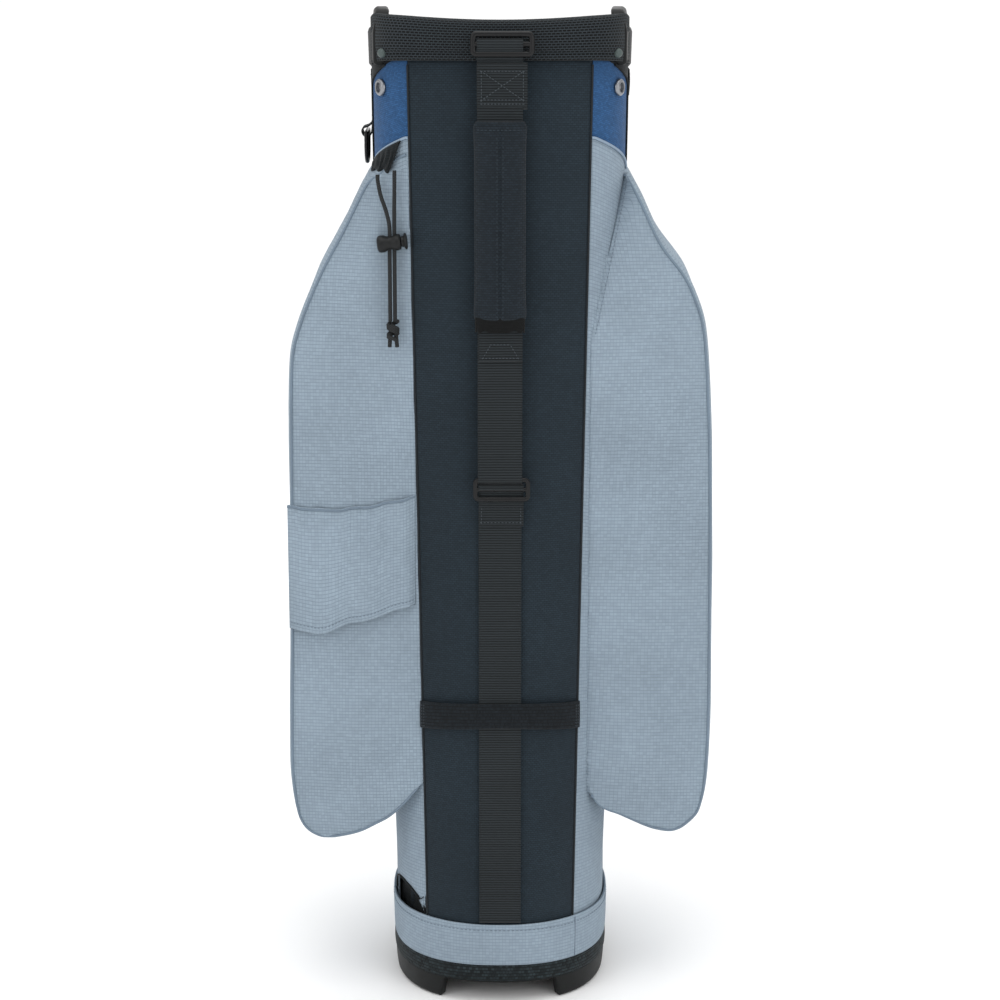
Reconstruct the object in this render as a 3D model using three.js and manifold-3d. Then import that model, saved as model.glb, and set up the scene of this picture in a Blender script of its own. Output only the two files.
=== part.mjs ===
// A golf cart bag: a tall oval bag on a moulded base, with a 14-way moulded top, a strap
// down its spine, two long side pockets and two front pockets. Millimetres, +Z up.
// The origin is on the floor, in the middle of the whole bag. -Y is the spine, with the strap.
import * as THREE from 'three';
import { mergeVertices } from 'three/addons/utils/BufferGeometryUtils.js';
import Module from 'manifold-3d';

const wasm = await Module();
wasm.setup();

// Driving dimensions of the bag's tube
const BASE_TOP = 60; // the moulded base reaches this far up inside the fabric
const COLLAR_Z = 873; // underside of the collar, at the spine
const RIM_Z = 905; // top of the collar, at the spine
const BASE_HALF_WIDTH = 99;
const TOP_HALF_WIDTH = 115;
const BASE_HALF_DEPTH = 112;
const TOP_HALF_DEPTH = 117;
const BASE_ROUNDNESS = 2.4; // superellipse exponent: near oval at the base
const TOP_ROUNDNESS = 4; // a rounded square at the collar
const COLLAR_SLOPE = 0.12; // the top slopes down towards the front
const FABRIC = 3; // padded fabric wall
const GAP = 0.3; // between flat pieces that touch
const OVER = 1; // between curved pieces that lie on each other
const HEM_Z = 22; // top of the exposed moulding, where the fabric begins
const BINDING_TOP = 38;
const BAND_TOP = 78;
const SPINE_HALF_BASE = 68; // half width of the spine panel
const SPINE_HALF_TOP = 80;

// Strap
const STRAP_WIDTH = 40;
const PAD_WIDTH = 47.5;
const PAD_TOP = 822;
const PAD_LENGTH = 177;

// Side pockets
const POCKET_REACH = 196; // half width over both pockets
const POCKET_REAR = -88;
const POCKET_FRONT = 60;
const POCKET_WALL = 3;

// Everything is drawn about the tube's axis, which stands behind the middle of the whole bag
const AXIS_Y = -29;
const bag = new THREE.Group();
bag.position.set(0, AXIS_Y, 0);

// ---------------------------------------------------------------- materials
const finish = (color, roughness, metalness = 0) =>
  new THREE.MeshStandardMaterial({ color, roughness, metalness });
const greyCloth = () => finish(0x97a7b6, 0.9);
const blackCloth = () => finish(0x2a353e, 0.9);
const blueCloth = () => finish(0x365c87, 0.9);
const mesh = () => finish(0x24292c, 0.95);
const webbing = () => finish(0x1f2326, 0.85);
const moulding = () => finish(0x16191a, 0.55);
const gloss = () => finish(0x101214, 0.3);
const steel = () => finish(0xb9bdc0, 0.3, 1);

// ---------------------------------------------------------------- helpers
// A closed geometry with shared vertices, no thin-air triangles, and its faces outwards
function closed(geometry) {
  geometry.deleteAttribute('normal');
  geometry.deleteAttribute('uv');
  const merged = mergeVertices(geometry, 1e-3);
  const corner = [...merged.index.array];
  let kept = [];
  for (let i = 0; i < corner.length; i += 3) {
    const [a, b, c] = corner.slice(i, i + 3);
    if (a !== b && b !== c && c !== a) kept.push(a, b, c);
  }
  const at = (i) => new THREE.Vector3().fromBufferAttribute(merged.attributes.position, i);
  let volume = 0;
  for (let i = 0; i < kept.length; i += 3) {
    volume += at(kept[i]).dot(at(kept[i + 1]).cross(at(kept[i + 2])));
  }
  if (volume < 0) kept = kept.reverse();
  merged.setIndex(kept);
  return merged;
}

function solid(geometry) {
  const shape = closed(geometry);
  const vertProperties = Float32Array.from(shape.attributes.position.array);
  const triVerts = Uint32Array.from(shape.index.array);
  return new wasm.Manifold(new wasm.Mesh({ numProp: 3, vertProperties, triVerts }));
}

function geometryOf(manifold) {
  const result = manifold.getMesh();
  const geometry = new THREE.BufferGeometry();
  geometry.setAttribute('position', new THREE.Float32BufferAttribute(result.vertProperties, 3));
  geometry.setIndex([...result.triVerts]);
  return geometry;
}

function cut(geometry, ...tools) {
  return geometryOf(tools.reduce((left, tool) => left.subtract(solid(tool)), solid(geometry)));
}

function join(geometry, ...more) {
  return geometryOf(more.reduce((left, piece) => left.add(solid(piece)), solid(geometry)));
}

function place(name, geometry, material, x = 0, y = 0, z = 0) {
  const piece = new THREE.Mesh(closed(geometry), material);
  piece.name = name;
  piece.position.set(x, y, z);
  bag.add(piece);
  return piece;
}

// A block given by its lowest and highest corners
function block(low, high) {
  const size = high.map((value, i) => value - low[i]);
  const middle = high.map((value, i) => (value + low[i]) / 2);
  return new THREE.BoxGeometry(...size).translate(...middle);
}

function roundedRectangle(width, height, radius) {
  const x = width / 2;
  const y = height / 2;
  const shape = new THREE.Shape();
  shape.moveTo(x, radius - y);
  shape.absarc(x - radius, y - radius, radius, 0, Math.PI / 2);
  shape.absarc(radius - x, y - radius, radius, Math.PI / 2, Math.PI);
  shape.absarc(radius - x, radius - y, radius, Math.PI, Math.PI * 1.5);
  shape.absarc(x - radius, radius - y, radius, Math.PI * 1.5, Math.PI * 2);
  return shape;
}

function extrude(shape, depth, curveSegments = 3) {
  return new THREE.ExtrudeGeometry(shape, { depth, bevelEnabled: false, curveSegments });
}

// A shape drawn in X and Z, extruded from yLow to yHigh
function upright(shape, yLow, yHigh, curveSegments) {
  return extrude(shape, yHigh - yLow, curveSegments).rotateX(Math.PI / 2).translate(0, yHigh, 0);
}

// The bag's tube: half width, half depth and roundness at a height, and its wall's radius
const rise = (z) => (z - BASE_TOP) / (880 - BASE_TOP);
const halfWidth = (z) => BASE_HALF_WIDTH + (TOP_HALF_WIDTH - BASE_HALF_WIDTH) * rise(z);
const halfDepth = (z) => BASE_HALF_DEPTH + (TOP_HALF_DEPTH - BASE_HALF_DEPTH) * rise(z);
const roundness = (z) =>
  BASE_ROUNDNESS + (TOP_ROUNDNESS - BASE_ROUNDNESS) * Math.max(0, rise(z)) ** 2;

// The point of the wall at a height, grown outwards, in the direction of an angle from +X
function wall(z, grow, angle) {
  const n = roundness(z);
  const across = Math.abs(Math.cos(angle)) / (halfWidth(z) + grow);
  const along = Math.abs(Math.sin(angle)) / (halfDepth(z) + grow);
  const radius = (across ** n + along ** n) ** (-1 / n);
  return [radius * Math.cos(angle), radius * Math.sin(angle)];
}

// The wall's half width at a distance y from the middle, and the rear angle where it meets x
function chord(z, grow, y) {
  const n = roundness(z);
  return (halfWidth(z) + grow) * (1 - Math.abs(y / (halfDepth(z) + grow)) ** n) ** (1 / n);
}
function rearAngle(z, x) {
  const n = roundness(z);
  const y = -halfDepth(z) * (1 - Math.abs(x / halfWidth(z)) ** n) ** (1 / n);
  return Math.atan2(y, x);
}
const spineHalf = (z) =>
  SPINE_HALF_BASE + ((SPINE_HALF_TOP - SPINE_HALF_BASE) * (z - BAND_TOP)) / (COLLAR_Z - BAND_TOP);
const collarDrop = (y) => COLLAR_SLOPE * (y + TOP_HALF_DEPTH);

// A patch of the wall between two angles and two heights, from one growth to another.
// from, to, low and high are functions: the angles of the height, the heights of the angle.
function patch({ from, to, low, high, inner, outer, around = 8, up = 6 }) {
  const geometry = new THREE.BoxGeometry(1, 1, 1, around, 1, up);
  const position = geometry.attributes.position;
  for (let i = 0; i < position.count; i += 1) {
    const turn = 0.5 - position.getX(i);
    const thick = position.getY(i) + 0.5;
    const height = position.getZ(i) + 0.5;
    const middle = from(500) + (to(500) - from(500)) * turn;
    const z = low(middle) + (high(middle) - low(middle)) * height;
    const angle = from(z) + (to(z) - from(z)) * turn;
    const [x, y] = wall(z, inner + (outer - inner) * thick, angle);
    position.setXYZ(i, x, y, z);
  }
  return geometry;
}

// A piece turned all round the oval. Each point of its profile is [z, growth] or [z] on the axis
function turned(profile, segments = 40) {
  const rows = profile.map((point, i) => new THREE.Vector2(point.length > 1 ? 1 : 0, i));
  const isRing = profile[0].length > 1;
  if (isRing) rows.push(new THREE.Vector2(1, 0));
  const geometry = new THREE.LatheGeometry(rows, segments);
  const position = geometry.attributes.position;
  for (let i = 0; i < position.count; i += 1) {
    const [z, grow] = profile[Math.round(position.getY(i))];
    const angle = Math.atan2(position.getZ(i), position.getX(i));
    const [x, y] = grow === undefined ? [0, 0] : wall(z, grow, angle);
    position.setXYZ(i, x, y, z);
  }
  return geometry;
}

// Slopes a piece with the collar: points further forward drop
function sloped(geometry) {
  const shear = new THREE.Matrix4().set(
    1, 0, 0, 0,
    0, 1, 0, 0,
    0, -COLLAR_SLOPE, 1, -COLLAR_SLOPE * TOP_HALF_DEPTH,
    0, 0, 0, 1,
  );
  return geometry.applyMatrix4(shear);
}

// A flat strip that lies along the spine at a distance from it
function spineStrip(width, zLow, zHigh, standOff, thickness) {
  const strip = block([-width / 2, 0, zLow], [width / 2, thickness, zHigh]);
  const position = strip.attributes.position;
  for (let i = 0; i < position.count; i += 1) {
    const out = position.getY(i) + standOff;
    position.setY(i, -halfDepth(position.getZ(i)) - out);
  }
  return strip;
}

const steady = (value) => () => value;

// ---------------------------------------------------------------- base
const NOTCH_HALF = 53; // the rear notch between the feet
const NOTCH_TOP = 21;
const FLOOR_Z = 25;

function baseCup() {
  const moulded = turned([
    [22, -7.5], [0, -8.5], [0, 1], [HEM_Z - GAP, 2.5], [HEM_Z - GAP, -3.5],
    [BASE_TOP, -3.5], [BASE_TOP, -6.5], [22, -6.5],
  ]);
  const rearNotch = block([-NOTCH_HALF, -140, -5], [NOTCH_HALF, -55, NOTCH_TOP]);
  return cut(moulded, rearNotch);
}
place('base_cup', baseCup(), moulding());
const floorPlate = turned([[22], [22, -8.2], [FLOOR_Z, -8.2], [FLOOR_Z]]);
place('base_floor', floorPlate, moulding());
place('base_binding', turned([
  [HEM_Z, OVER], [HEM_Z, 3], [BINDING_TOP - GAP, 3], [BINDING_TOP - GAP, OVER],
]), webbing());
place('base_band', turned([
  [BINDING_TOP, OVER], [BINDING_TOP, 3.4], [BAND_TOP, 3.4], [BAND_TOP, OVER],
]), greyCloth());

// ---------------------------------------------------------------- fabric panels
const FRONT_FROM = THREE.MathUtils.degToRad(35); // the front panel's edge, from +X
const SEAM = 0.004; // radians left between two panels
const panelTop = (angle) => {
  const y = wall(COLLAR_Z, 0, angle)[1];
  return COLLAR_Z - 0.5 - collarDrop(y);
};
const rightEdge = (z) => rearAngle(z, spineHalf(z));
const leftEdge = (z) => -Math.PI - rightEdge(z);
// The grey side panels end below the blue corners at a line that falls outwards
const cornerLine = (angle) => {
  const fromSpine = Math.abs(angle + Math.PI / 2) - 0.66;
  return 805 - 45 * Math.min(1, Math.max(0, fromSpine / 0.8));
};
const plain = { low: steady(HEM_Z + GAP), inner: -FABRIC, outer: 0 };

place('spine_panel', patch({
  ...plain, from: leftEdge, to: rightEdge, high: panelTop, around: 10,
}), blackCloth());
place('front_panel', patch({
  ...plain, from: steady(FRONT_FROM), to: steady(Math.PI - FRONT_FROM), high: panelTop, around: 12,
}), greyCloth());

const CUP_TURN = -2.31; // the umbrella cup's direction: the left rear corner
const WINDOW_TURN = -2.45; // and that of the opening above the band, where it is reached
const CUP_RADIUS = 11;
const CUP_LOW = 27;
const CUP_TOP = 100;
const cupPlace = wall(80, -19, CUP_TURN);
const cupWindow = wall(BAND_TOP, 0, WINDOW_TURN);

for (const side of ['left', 'right']) {
  const isLeft = side === 'left';
  const from = isLeft ? steady(-Math.PI - FRONT_FROM + SEAM) : (z) => rightEdge(z) + SEAM;
  const to = isLeft ? (z) => leftEdge(z) - SEAM : steady(FRONT_FROM - SEAM);
  let panel = patch({ ...plain, from, to, high: cornerLine, around: 12 });
  if (isLeft) {
    const window = new THREE.SphereGeometry(1, 16, 8).scale(17, 17, 24);
    panel = cut(panel, window.translate(cupWindow[0], cupWindow[1], BAND_TOP));
  }
  place(`side_panel_${side}`, panel, greyCloth());
  place(`corner_panel_${side}`, patch({
    from, to, low: (angle) => cornerLine(angle) + GAP, high: panelTop, inner: -FABRIC, outer: 0,
    around: 12, up: 2,
  }), blueCloth());
}

// Two stiff rods that keep the bag from folding, inside its sides
const ROD_RADIUS = 3;
const ROD_TURN = 1.3;
for (const [side, sign] of [['left', -1], ['right', 1]]) {
  const angle = -Math.PI / 2 + sign * ROD_TURN;
  const foot = wall(BASE_TOP, -12, angle);
  const head = wall(COLLAR_Z - 5, -7.2, angle);
  const topZ = COLLAR_Z - 1 - collarDrop(head[1]);
  const line = new THREE.LineCurve3(
    new THREE.Vector3(foot[0], foot[1], FLOOR_Z + GAP),
    new THREE.Vector3(head[0], head[1], topZ),
  );
  const section = new THREE.Shape().absarc(0, 0, ROD_RADIUS, 0, Math.PI * 2);
  const rod = new THREE.ExtrudeGeometry(section, {
    steps: 1, extrudePath: line, curveSegments: 10, bevelEnabled: false,
  });
  place(`stay_rod_${side}`, rod, steel());
}

// ---------------------------------------------------------------- umbrella cup
place('umbrella_cup', new THREE.LatheGeometry([
  [0, CUP_LOW], [CUP_RADIUS - 1, CUP_LOW], [CUP_RADIUS + 1.5, CUP_TOP], [CUP_RADIUS, CUP_TOP],
  [CUP_RADIUS - 2.5, CUP_LOW + 1.5], [0, CUP_LOW + 1.5],
].map(([r, z]) => new THREE.Vector2(r, z)), 20).rotateX(Math.PI / 2), mesh(), ...cupPlace, 0);

// ---------------------------------------------------------------- collar and dividers
const COLLAR_WALL = 9;
const WELL_ROWS = [-50, 0, 50]; // the long bars, front to back
const SHORT_BARS = [[-36, 36], [-55, 0, 55], [-55, 0, 55], [-36, 36]];
const BAR = 6;
const GRID_LOW = 878;
const GRID_HIGH = 901;
const HANDLE_WIDTH = 12;
const HANDLE_OUT = 116.5;
const SLOT = { rear: -78, front: -2, low: 874, high: 891.5 };

// A grip along each side of the collar: a bar over a finger slot
function sideGrip(sign) {
  const arch = new THREE.Shape();
  arch.moveTo(-92, 880);
  arch.lineTo(-92, 900);
  arch.quadraticCurveTo(-78, 914, -62, 914);
  arch.lineTo(-34, 911);
  arch.quadraticCurveTo(4, 908, 16, 892);
  arch.lineTo(16, 868);
  const bar = extrude(arch, HANDLE_WIDTH, 4).rotateY(Math.PI / 2).rotateX(Math.PI / 2);
  return bar.translate(sign > 0 ? HANDLE_OUT - HANDLE_WIDTH : -HANDLE_OUT, 0, 0);
}

function collarRing() {
  const ring = sloped(turned([
    [COLLAR_Z, -COLLAR_WALL], [COLLAR_Z, 1.8], [RIM_Z - 3, 1.8], [RIM_Z, -1], [RIM_Z, -6],
    [RIM_Z - 3, -COLLAR_WALL],
  ], 48));
  const withGrips = join(ring, sideGrip(-1), sideGrip(1));
  const slot = block([-130, SLOT.rear, SLOT.low], [130, SLOT.front, SLOT.high]);
  const inside = sloped(turned([[840], [840, -COLLAR_WALL], [950, -COLLAR_WALL], [950]], 48));
  return cut(withGrips, slot, inside);
}
place('collar_ring', collarRing(), moulding());

function dividerGrid() {
  const bars = WELL_ROWS.map((y) =>
    block([-130, y - BAR / 2, GRID_LOW], [130, y + BAR / 2, GRID_HIGH]));
  const edges = [-130, ...WELL_ROWS, 130];
  SHORT_BARS.forEach((places, row) => {
    for (const x of places) {
      bars.push(block([x - BAR / 2, edges[row], GRID_LOW], [x + BAR / 2, edges[row + 1], GRID_HIGH]));
    }
  });
  const [first, ...rest] = bars;
  const inside = turned([[860], [860, -9.4], [920, -9.4], [920]], 48);
  return sloped(geometryOf(solid(join(first, ...rest)).intersect(solid(inside))));
}
place('divider_grid', dividerGrid(), moulding());

// Three full-length divider sheets hang from the long bars
const SHEET = 2;
WELL_ROWS.forEach((y, i) => {
  const low = FLOOR_Z + 2;
  const high = GRID_LOW - GAP - collarDrop(y + SHEET / 2);
  const bottom = chord(BASE_TOP, -8, Math.abs(y) + SHEET);
  const top = chord(GRID_LOW, -10.5, Math.abs(y) + SHEET);
  const sheet = block([-1, y - SHEET / 2, low], [1, y + SHEET / 2, high]);
  const position = sheet.attributes.position;
  for (let v = 0; v < position.count; v += 1) {
    const half = position.getZ(v) > 400 ? top : bottom;
    position.setX(v, position.getX(v) * half);
  }
  place(`divider_sheet_${i + 1}`, sheet, blackCloth());
});

// ---------------------------------------------------------------- collar trim
const PAD_TURN = 0.69;
place('collar_pad', sloped(patch({
  from: steady(-Math.PI / 2 - PAD_TURN), to: steady(-Math.PI / 2 + PAD_TURN),
  low: steady(COLLAR_Z - 2), high: steady(RIM_Z), inner: 3.2, outer: 10, around: 12, up: 2,
})), mesh());

// A small turned piece that sits on the wall and faces outwards
function stud(name, profile, angle, z, grow, material) {
  const points = profile.map(([r, out]) => new THREE.Vector2(r, out));
  const here = new THREE.Vector2(...wall(z, grow, angle));
  const ahead = new THREE.Vector2(...wall(z, grow, angle + 0.01)).sub(here).normalize();
  const piece = place(name, new THREE.LatheGeometry(points, 16), material, here.x, here.y, z);
  const outwards = new THREE.Vector3(ahead.y, -ahead.x, 0);
  piece.quaternion.setFromUnitVectors(new THREE.Vector3(0, 1, 0), outwards);
}
const SNAP_TURN = 0.868;
const RIVET_TURN = 0.78;
for (const [side, sign] of [['left', -1], ['right', 1]]) {
  const snap = -Math.PI / 2 + sign * SNAP_TURN;
  stud(`hood_snap_${side}`, [
    [0, 0.4], [7.5, 0.4], [7.5, 2], [6, 3.6], [4.4, 3.6], [3.6, 1.6], [0, 1.6],
  ], snap, 847, 0, steel());
  stud(`collar_rivet_${side}`, [
    [0, 0.4], [4, 0.4], [4, 1.6], [2.4, 4], [0, 4.4],
  ], -Math.PI / 2 + sign * RIVET_TURN, 881, 1.8, gloss());
}

// ---------------------------------------------------------------- strap
// A tri-glide: a rounded frame with two windows and a bar between them
function triglide(width, height) {
  const frame = roundedRectangle(width, height, 4);
  const bar = 4;
  const window = (height - 3 * bar) / 2;
  for (const sign of [-1, 1]) {
    const hole = roundedRectangle(width - 2 * bar, window, 1);
    const middle = (sign * (bar + window)) / 2;
    frame.holes.push(new THREE.Path(hole.getPoints(1).map((p) => p.setY(p.y + middle))));
  }
  return upright(frame, -2, 2, 3);
}
const UPPER_GLIDE = { x: 2, y: -134, z: 887 };
const LOWER_GLIDE = { x: 1.5, y: -124.5, z: 495.5 };
place('strap_triglide_upper', triglide(52, 20), gloss(), UPPER_GLIDE.x, UPPER_GLIDE.y, UPPER_GLIDE.z);
place('strap_triglide_lower', triglide(50, 22), gloss(), LOWER_GLIDE.x, LOWER_GLIDE.y, LOWER_GLIDE.z);

// Webbing sewn to the spine below the lower tri-glide, down to the base
place('spine_webbing', spineStrip(STRAP_WIDTH, BAND_TOP + 2, 470, GAP, 2), webbing());
// The strap's own webbing, between the two tri-glides, and the doubled end above it
const STRAP_OFF = 9;
place('strap_webbing', spineStrip(STRAP_WIDTH, 510, 846, STRAP_OFF, 2.4), webbing());
place('strap_end_upper', spineStrip(44, 848, 893, STRAP_OFF + 1.4, 3.6), webbing());
place('strap_end_lower', spineStrip(STRAP_WIDTH, 473, 508, 2.5, 3.5), webbing());

function strapPad() {
  const outside = roundedRectangle(PAD_WIDTH, 15, 5);
  const channel = roundedRectangle(STRAP_WIDTH + 2, 4, 1);
  outside.holes.push(new THREE.Path(channel.getPoints(2)));
  const pad = extrude(outside, PAD_LENGTH, 3);
  const lean = (halfDepth(PAD_TOP) - halfDepth(PAD_TOP - PAD_LENGTH)) / PAD_LENGTH;
  const shear = new THREE.Matrix4().set(1, 0, 0, 0, 0, 1, -lean, 0, 0, 0, 1, 0, 0, 0, 0, 1);
  return pad.applyMatrix4(shear);
}
const padFoot = PAD_TOP - PAD_LENGTH;
place('strap_pad', strapPad(), blackCloth(), 0, -halfDepth(padFoot) - STRAP_OFF - 1.2, padFoot);

// A wide elastic band sewn across the spine, which a cart's belt slides under
const ELASTIC_HALF = 72;
place('cart_elastic', patch({
  from: steady(rearAngle(277, -ELASTIC_HALF)), to: steady(rearAngle(277, ELASTIC_HALF)),
  low: steady(264), high: steady(289), inner: 3.8, outer: 5.4, around: 10, up: 1,
}), webbing());

// ---------------------------------------------------------------- towel ring and side tabs
const RING_X = -120.5;
const RING_Z = 801;
const RING_Y = 2;

// A webbing tab with a loop at its foot that holds the towel ring's bar
function towelTab() {
  const loop = new THREE.Shape().absarc(RING_X, RING_Z, 4.9, 0, Math.PI * 2);
  loop.holes.push(new THREE.Path().absarc(RING_X, RING_Z, 3.1, 0, Math.PI * 2, true));
  const outer = (z) => -halfWidth(z) - GAP;
  const strip = new THREE.Shape();
  strip.moveTo(outer(RING_Z), RING_Z + 3);
  strip.lineTo(outer(857), 857);
  strip.lineTo(outer(857) - 2, 857);
  strip.lineTo(RING_X - 2.4, RING_Z + 4.4);
  strip.lineTo(RING_X + 4.2, RING_Z + 1.8);
  return join(upright(loop, -10, 10, 8), upright(strip, -10, 10, 2));
}
place('towel_ring_tab', towelTab(), webbing(), 0, RING_Y, 0);

// The ring is a D that hangs flat against the side
function dOutline(inset) {
  const bend = 17 - inset;
  const shape = new THREE.Shape();
  shape.moveTo(22 - inset, 2 - inset);
  shape.lineTo(inset - 22, 2 - inset);
  shape.absarc(-5, -12, bend, Math.PI, Math.PI * 1.5);
  shape.absarc(5, -12, bend, Math.PI * 1.5, Math.PI * 2);
  return shape;
}
function towelRing() {
  const outside = dOutline(0);
  outside.holes.push(new THREE.Path(dOutline(4).getPoints(4)));
  return extrude(outside, 4, 4).translate(0, 0, -2).rotateX(Math.PI / 2).rotateZ(Math.PI / 2);
}
place('towel_ring', towelRing(), gloss(), RING_X, RING_Y, RING_Z);

const TAB_REAR = -12;
const TAB_FRONT = 13;
const sideTab = block([0, TAB_REAR, 834], [2, TAB_FRONT, 856]);
place('side_tab', sideTab, webbing(), halfWidth(856) + GAP, 0, 0);

// ---------------------------------------------------------------- bungee and cord lock
const CORD = 3;
const STRANDS = 4.2; // between the two strands, centre to centre
const CORD_X = -94.5;
const CORD_Y = -110;
const KNOT_TOP = 644;

// Both ends of one elastic cord come out of a fabric channel, pass a cord lock and meet in a knot
function strand(points) {
  const path = new THREE.CatmullRomCurve3(points.map((p) => new THREE.Vector3(...p)));
  const section = new THREE.Shape().absarc(0, 0, CORD / 2, 0, Math.PI * 2);
  return new THREE.ExtrudeGeometry(section, {
    steps: 20, extrudePath: path, curveSegments: 4, bevelEnabled: false,
  });
}
const leftX = CORD_X - STRANDS / 2;
const rightX = CORD_X + STRANDS / 2;
place('bungee_left', strand([
  [-107, -100.1, 772.3], [-106.8, -100.6, 767], [-104.4, -103.6, 755], [-99.5, -107.6, 741],
  [leftX, CORD_Y, 728], [leftX, CORD_Y, 712], [leftX, CORD_Y, 690], [leftX, CORD_Y, 666],
  [leftX, CORD_Y, KNOT_TOP + GAP],
]), webbing());
place('bungee_right', strand([
  [-92, -106.8, 776.7], [-92, -107, 771], [-92.1, -107.8, 760], [-92.3, -109.2, 745],
  [rightX, CORD_Y, 728], [rightX, CORD_Y, 712], [rightX, CORD_Y, 690], [rightX, CORD_Y, 666],
  [rightX, CORD_Y, KNOT_TOP + GAP],
]), webbing());

const knotBody = new THREE.SphereGeometry(1, 12, 8).scale(5, 5, 6.8).translate(0, 0, -6.5);
const tails = [-2.1, 2.6].map((x) =>
  new THREE.CylinderGeometry(CORD / 2, CORD / 2, 12, 8).rotateX(Math.PI / 2).translate(x, 0, -16));
const flat = block([-8, -8, 0], [8, 8, 4]);
place('bungee_knot', cut(join(knotBody, ...tails), flat), webbing(), CORD_X, CORD_Y, KNOT_TOP);

// The lock: a barrel with a sprung button at its right end, and a cross hole for the cord
const LOCK_Z = 714;
const LOCK_RADIUS = 7.5;
const PRESS = 3;
function along(profile) {
  const turnedPart = new THREE.LatheGeometry(profile.map(([r, x]) => new THREE.Vector2(r, x)), 20);
  return turnedPart.rotateZ(-Math.PI / 2);
}
function crossHole(left, right) {
  const hole = roundedRectangle(right - left, CORD + 1.2, 2);
  return extrude(hole, 40, 3).translate((left + right) / 2, 0, -20);
}
const barrel = along([
  [0, -13], [5.5, -13], [LOCK_RADIUS, -11], [LOCK_RADIUS, 4], [6.8, 5], [5.2, 5], [5.2, -9.5], [0, -9.5],
]);
place('cord_lock_body', cut(barrel, crossHole(-4.4, 4.4)), moulding(), CORD_X, CORD_Y, LOCK_Z);
const button = along([
  [0, -5.2], [4.8, -5.2], [4.8, 5 + PRESS + 0.4], [7, 5 + PRESS + 0.4], [7, 11], [5.8, 12], [0, 12],
]);
place('cord_lock_button', cut(button, crossHole(-4, 7.6)), gloss(), CORD_X, CORD_Y, LOCK_Z);

// The channel that the cord runs in, under the piping at the pocket's top
const channelShape = new THREE.Shape();
channelShape.moveTo(0, 800);
channelShape.lineTo(-28, 772.6);
channelShape.lineTo(-16, 772.6);
channelShape.lineTo(-11, 777);
channelShape.lineTo(0, 777);
const CHANNEL_LEAN = 0.42; // radians, along the bag's corner
const channel = upright(channelShape, -1.5, 1.5, 2).rotateZ(-CHANNEL_LEAN);
place('cord_channel', channel, webbing(), -86, -109.5, 0);

// ---------------------------------------------------------------- side pockets
// Outline of a side pocket in X and Z, drawn for the right side
function pocketOutline(inset) {
  const reach = POCKET_REACH - inset;
  const shape = new THREE.Shape();
  shape.moveTo(60, 214 + inset);
  shape.lineTo(60, 772 - inset);
  shape.lineTo(112 - inset, 772 - inset);
  shape.bezierCurveTo(126, 740, 142 - inset, 712, 160 - inset, 688);
  shape.bezierCurveTo(176 - inset, 664, reach - 6, 640, reach - 5, 600);
  shape.lineTo(reach, 300);
  shape.bezierCurveTo(reach + 1, 240, reach + 1, 200, 184 - inset, 172 + inset);
  shape.bezierCurveTo(176, 152 + inset, 156, 150 + inset, 132, 160 + inset);
  return shape;
}
const ZIP_LOW = 250;
const ZIP_TOP = 640;
const SIDE_ZIP_X = 158;
const ZIP_SLIT = 7;

function sidePocket(sign) {
  const outside = upright(pocketOutline(0), POCKET_REAR, POCKET_FRONT, 5);
  const inside = upright(
    pocketOutline(POCKET_WALL), POCKET_REAR + POCKET_WALL, POCKET_FRONT - POCKET_WALL, 5,
  );
  const tube = turned([[100], [100, OVER], [480, OVER], [800, OVER], [800]], 64);
  const lining = turned([
    [90], [90, OVER + POCKET_WALL], [480, OVER + POCKET_WALL], [810, OVER + POCKET_WALL], [810],
  ], 64);
  const slit = block(
    [SIDE_ZIP_X - ZIP_SLIT / 2, 40, ZIP_LOW], [SIDE_ZIP_X + ZIP_SLIT / 2, 80, ZIP_TOP],
  );
  const hollow = solid(inside).subtract(solid(lining)).add(solid(slit));
  const shell = solid(outside).subtract(solid(tube)).subtract(hollow);
  const geometry = geometryOf(shell);
  return sign > 0 ? geometry : geometry.scale(-1, 1, 1);
}

// A zip: a tape with its chain, a slider that runs down it, and the slider's pull
const TAPE = 1;
const CHAIN = 1.4;
function zip(name, x, y, low, high) {
  const tape = block([-12, GAP, low - 6], [12, GAP + TAPE, high + 6]);
  const chain = block([-2.5, GAP, low - 2], [2.5, GAP + TAPE + CHAIN, high + 2]);
  place(`${name}_zip`, join(tape, chain), webbing(), x, y, 0);
  const face = y + GAP + TAPE;
  const slider = join(
    block([-5, CHAIN + GAP, -7], [5, CHAIN + 2.3, 7]),
    block([-5, GAP, -6], [-2.9, CHAIN + 1, 6]),
    block([2.9, GAP, -6], [5, CHAIN + 1, 6]),
    block([-2.2, CHAIN + 1.5, -3], [-1.2, CHAIN + 6.5, 3]),
    block([1.2, CHAIN + 1.5, -3], [2.2, CHAIN + 6.5, 3]),
  );
  place(`${name}_slider`, slider, steel(), x, face, high - 10);
  const pull = join(
    block([-0.9, -1, -1.2], [0.9, 1, 1.2]),
    block([-0.9, -1, -8], [0.9, 1, 0]),
    block([-3.5, -1, -32], [3.5, 1, -7]),
  );
  place(`${name}_pull`, pull, steel(), x, face + CHAIN + 4.4, high - 10);
}

for (const [side, sign] of [['left', -1], ['right', 1]]) {
  place(`side_pocket_${side}`, sidePocket(sign), greyCloth());
  zip(`side_${side}`, sign * SIDE_ZIP_X, POCKET_FRONT, ZIP_LOW, ZIP_TOP);
}

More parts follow.
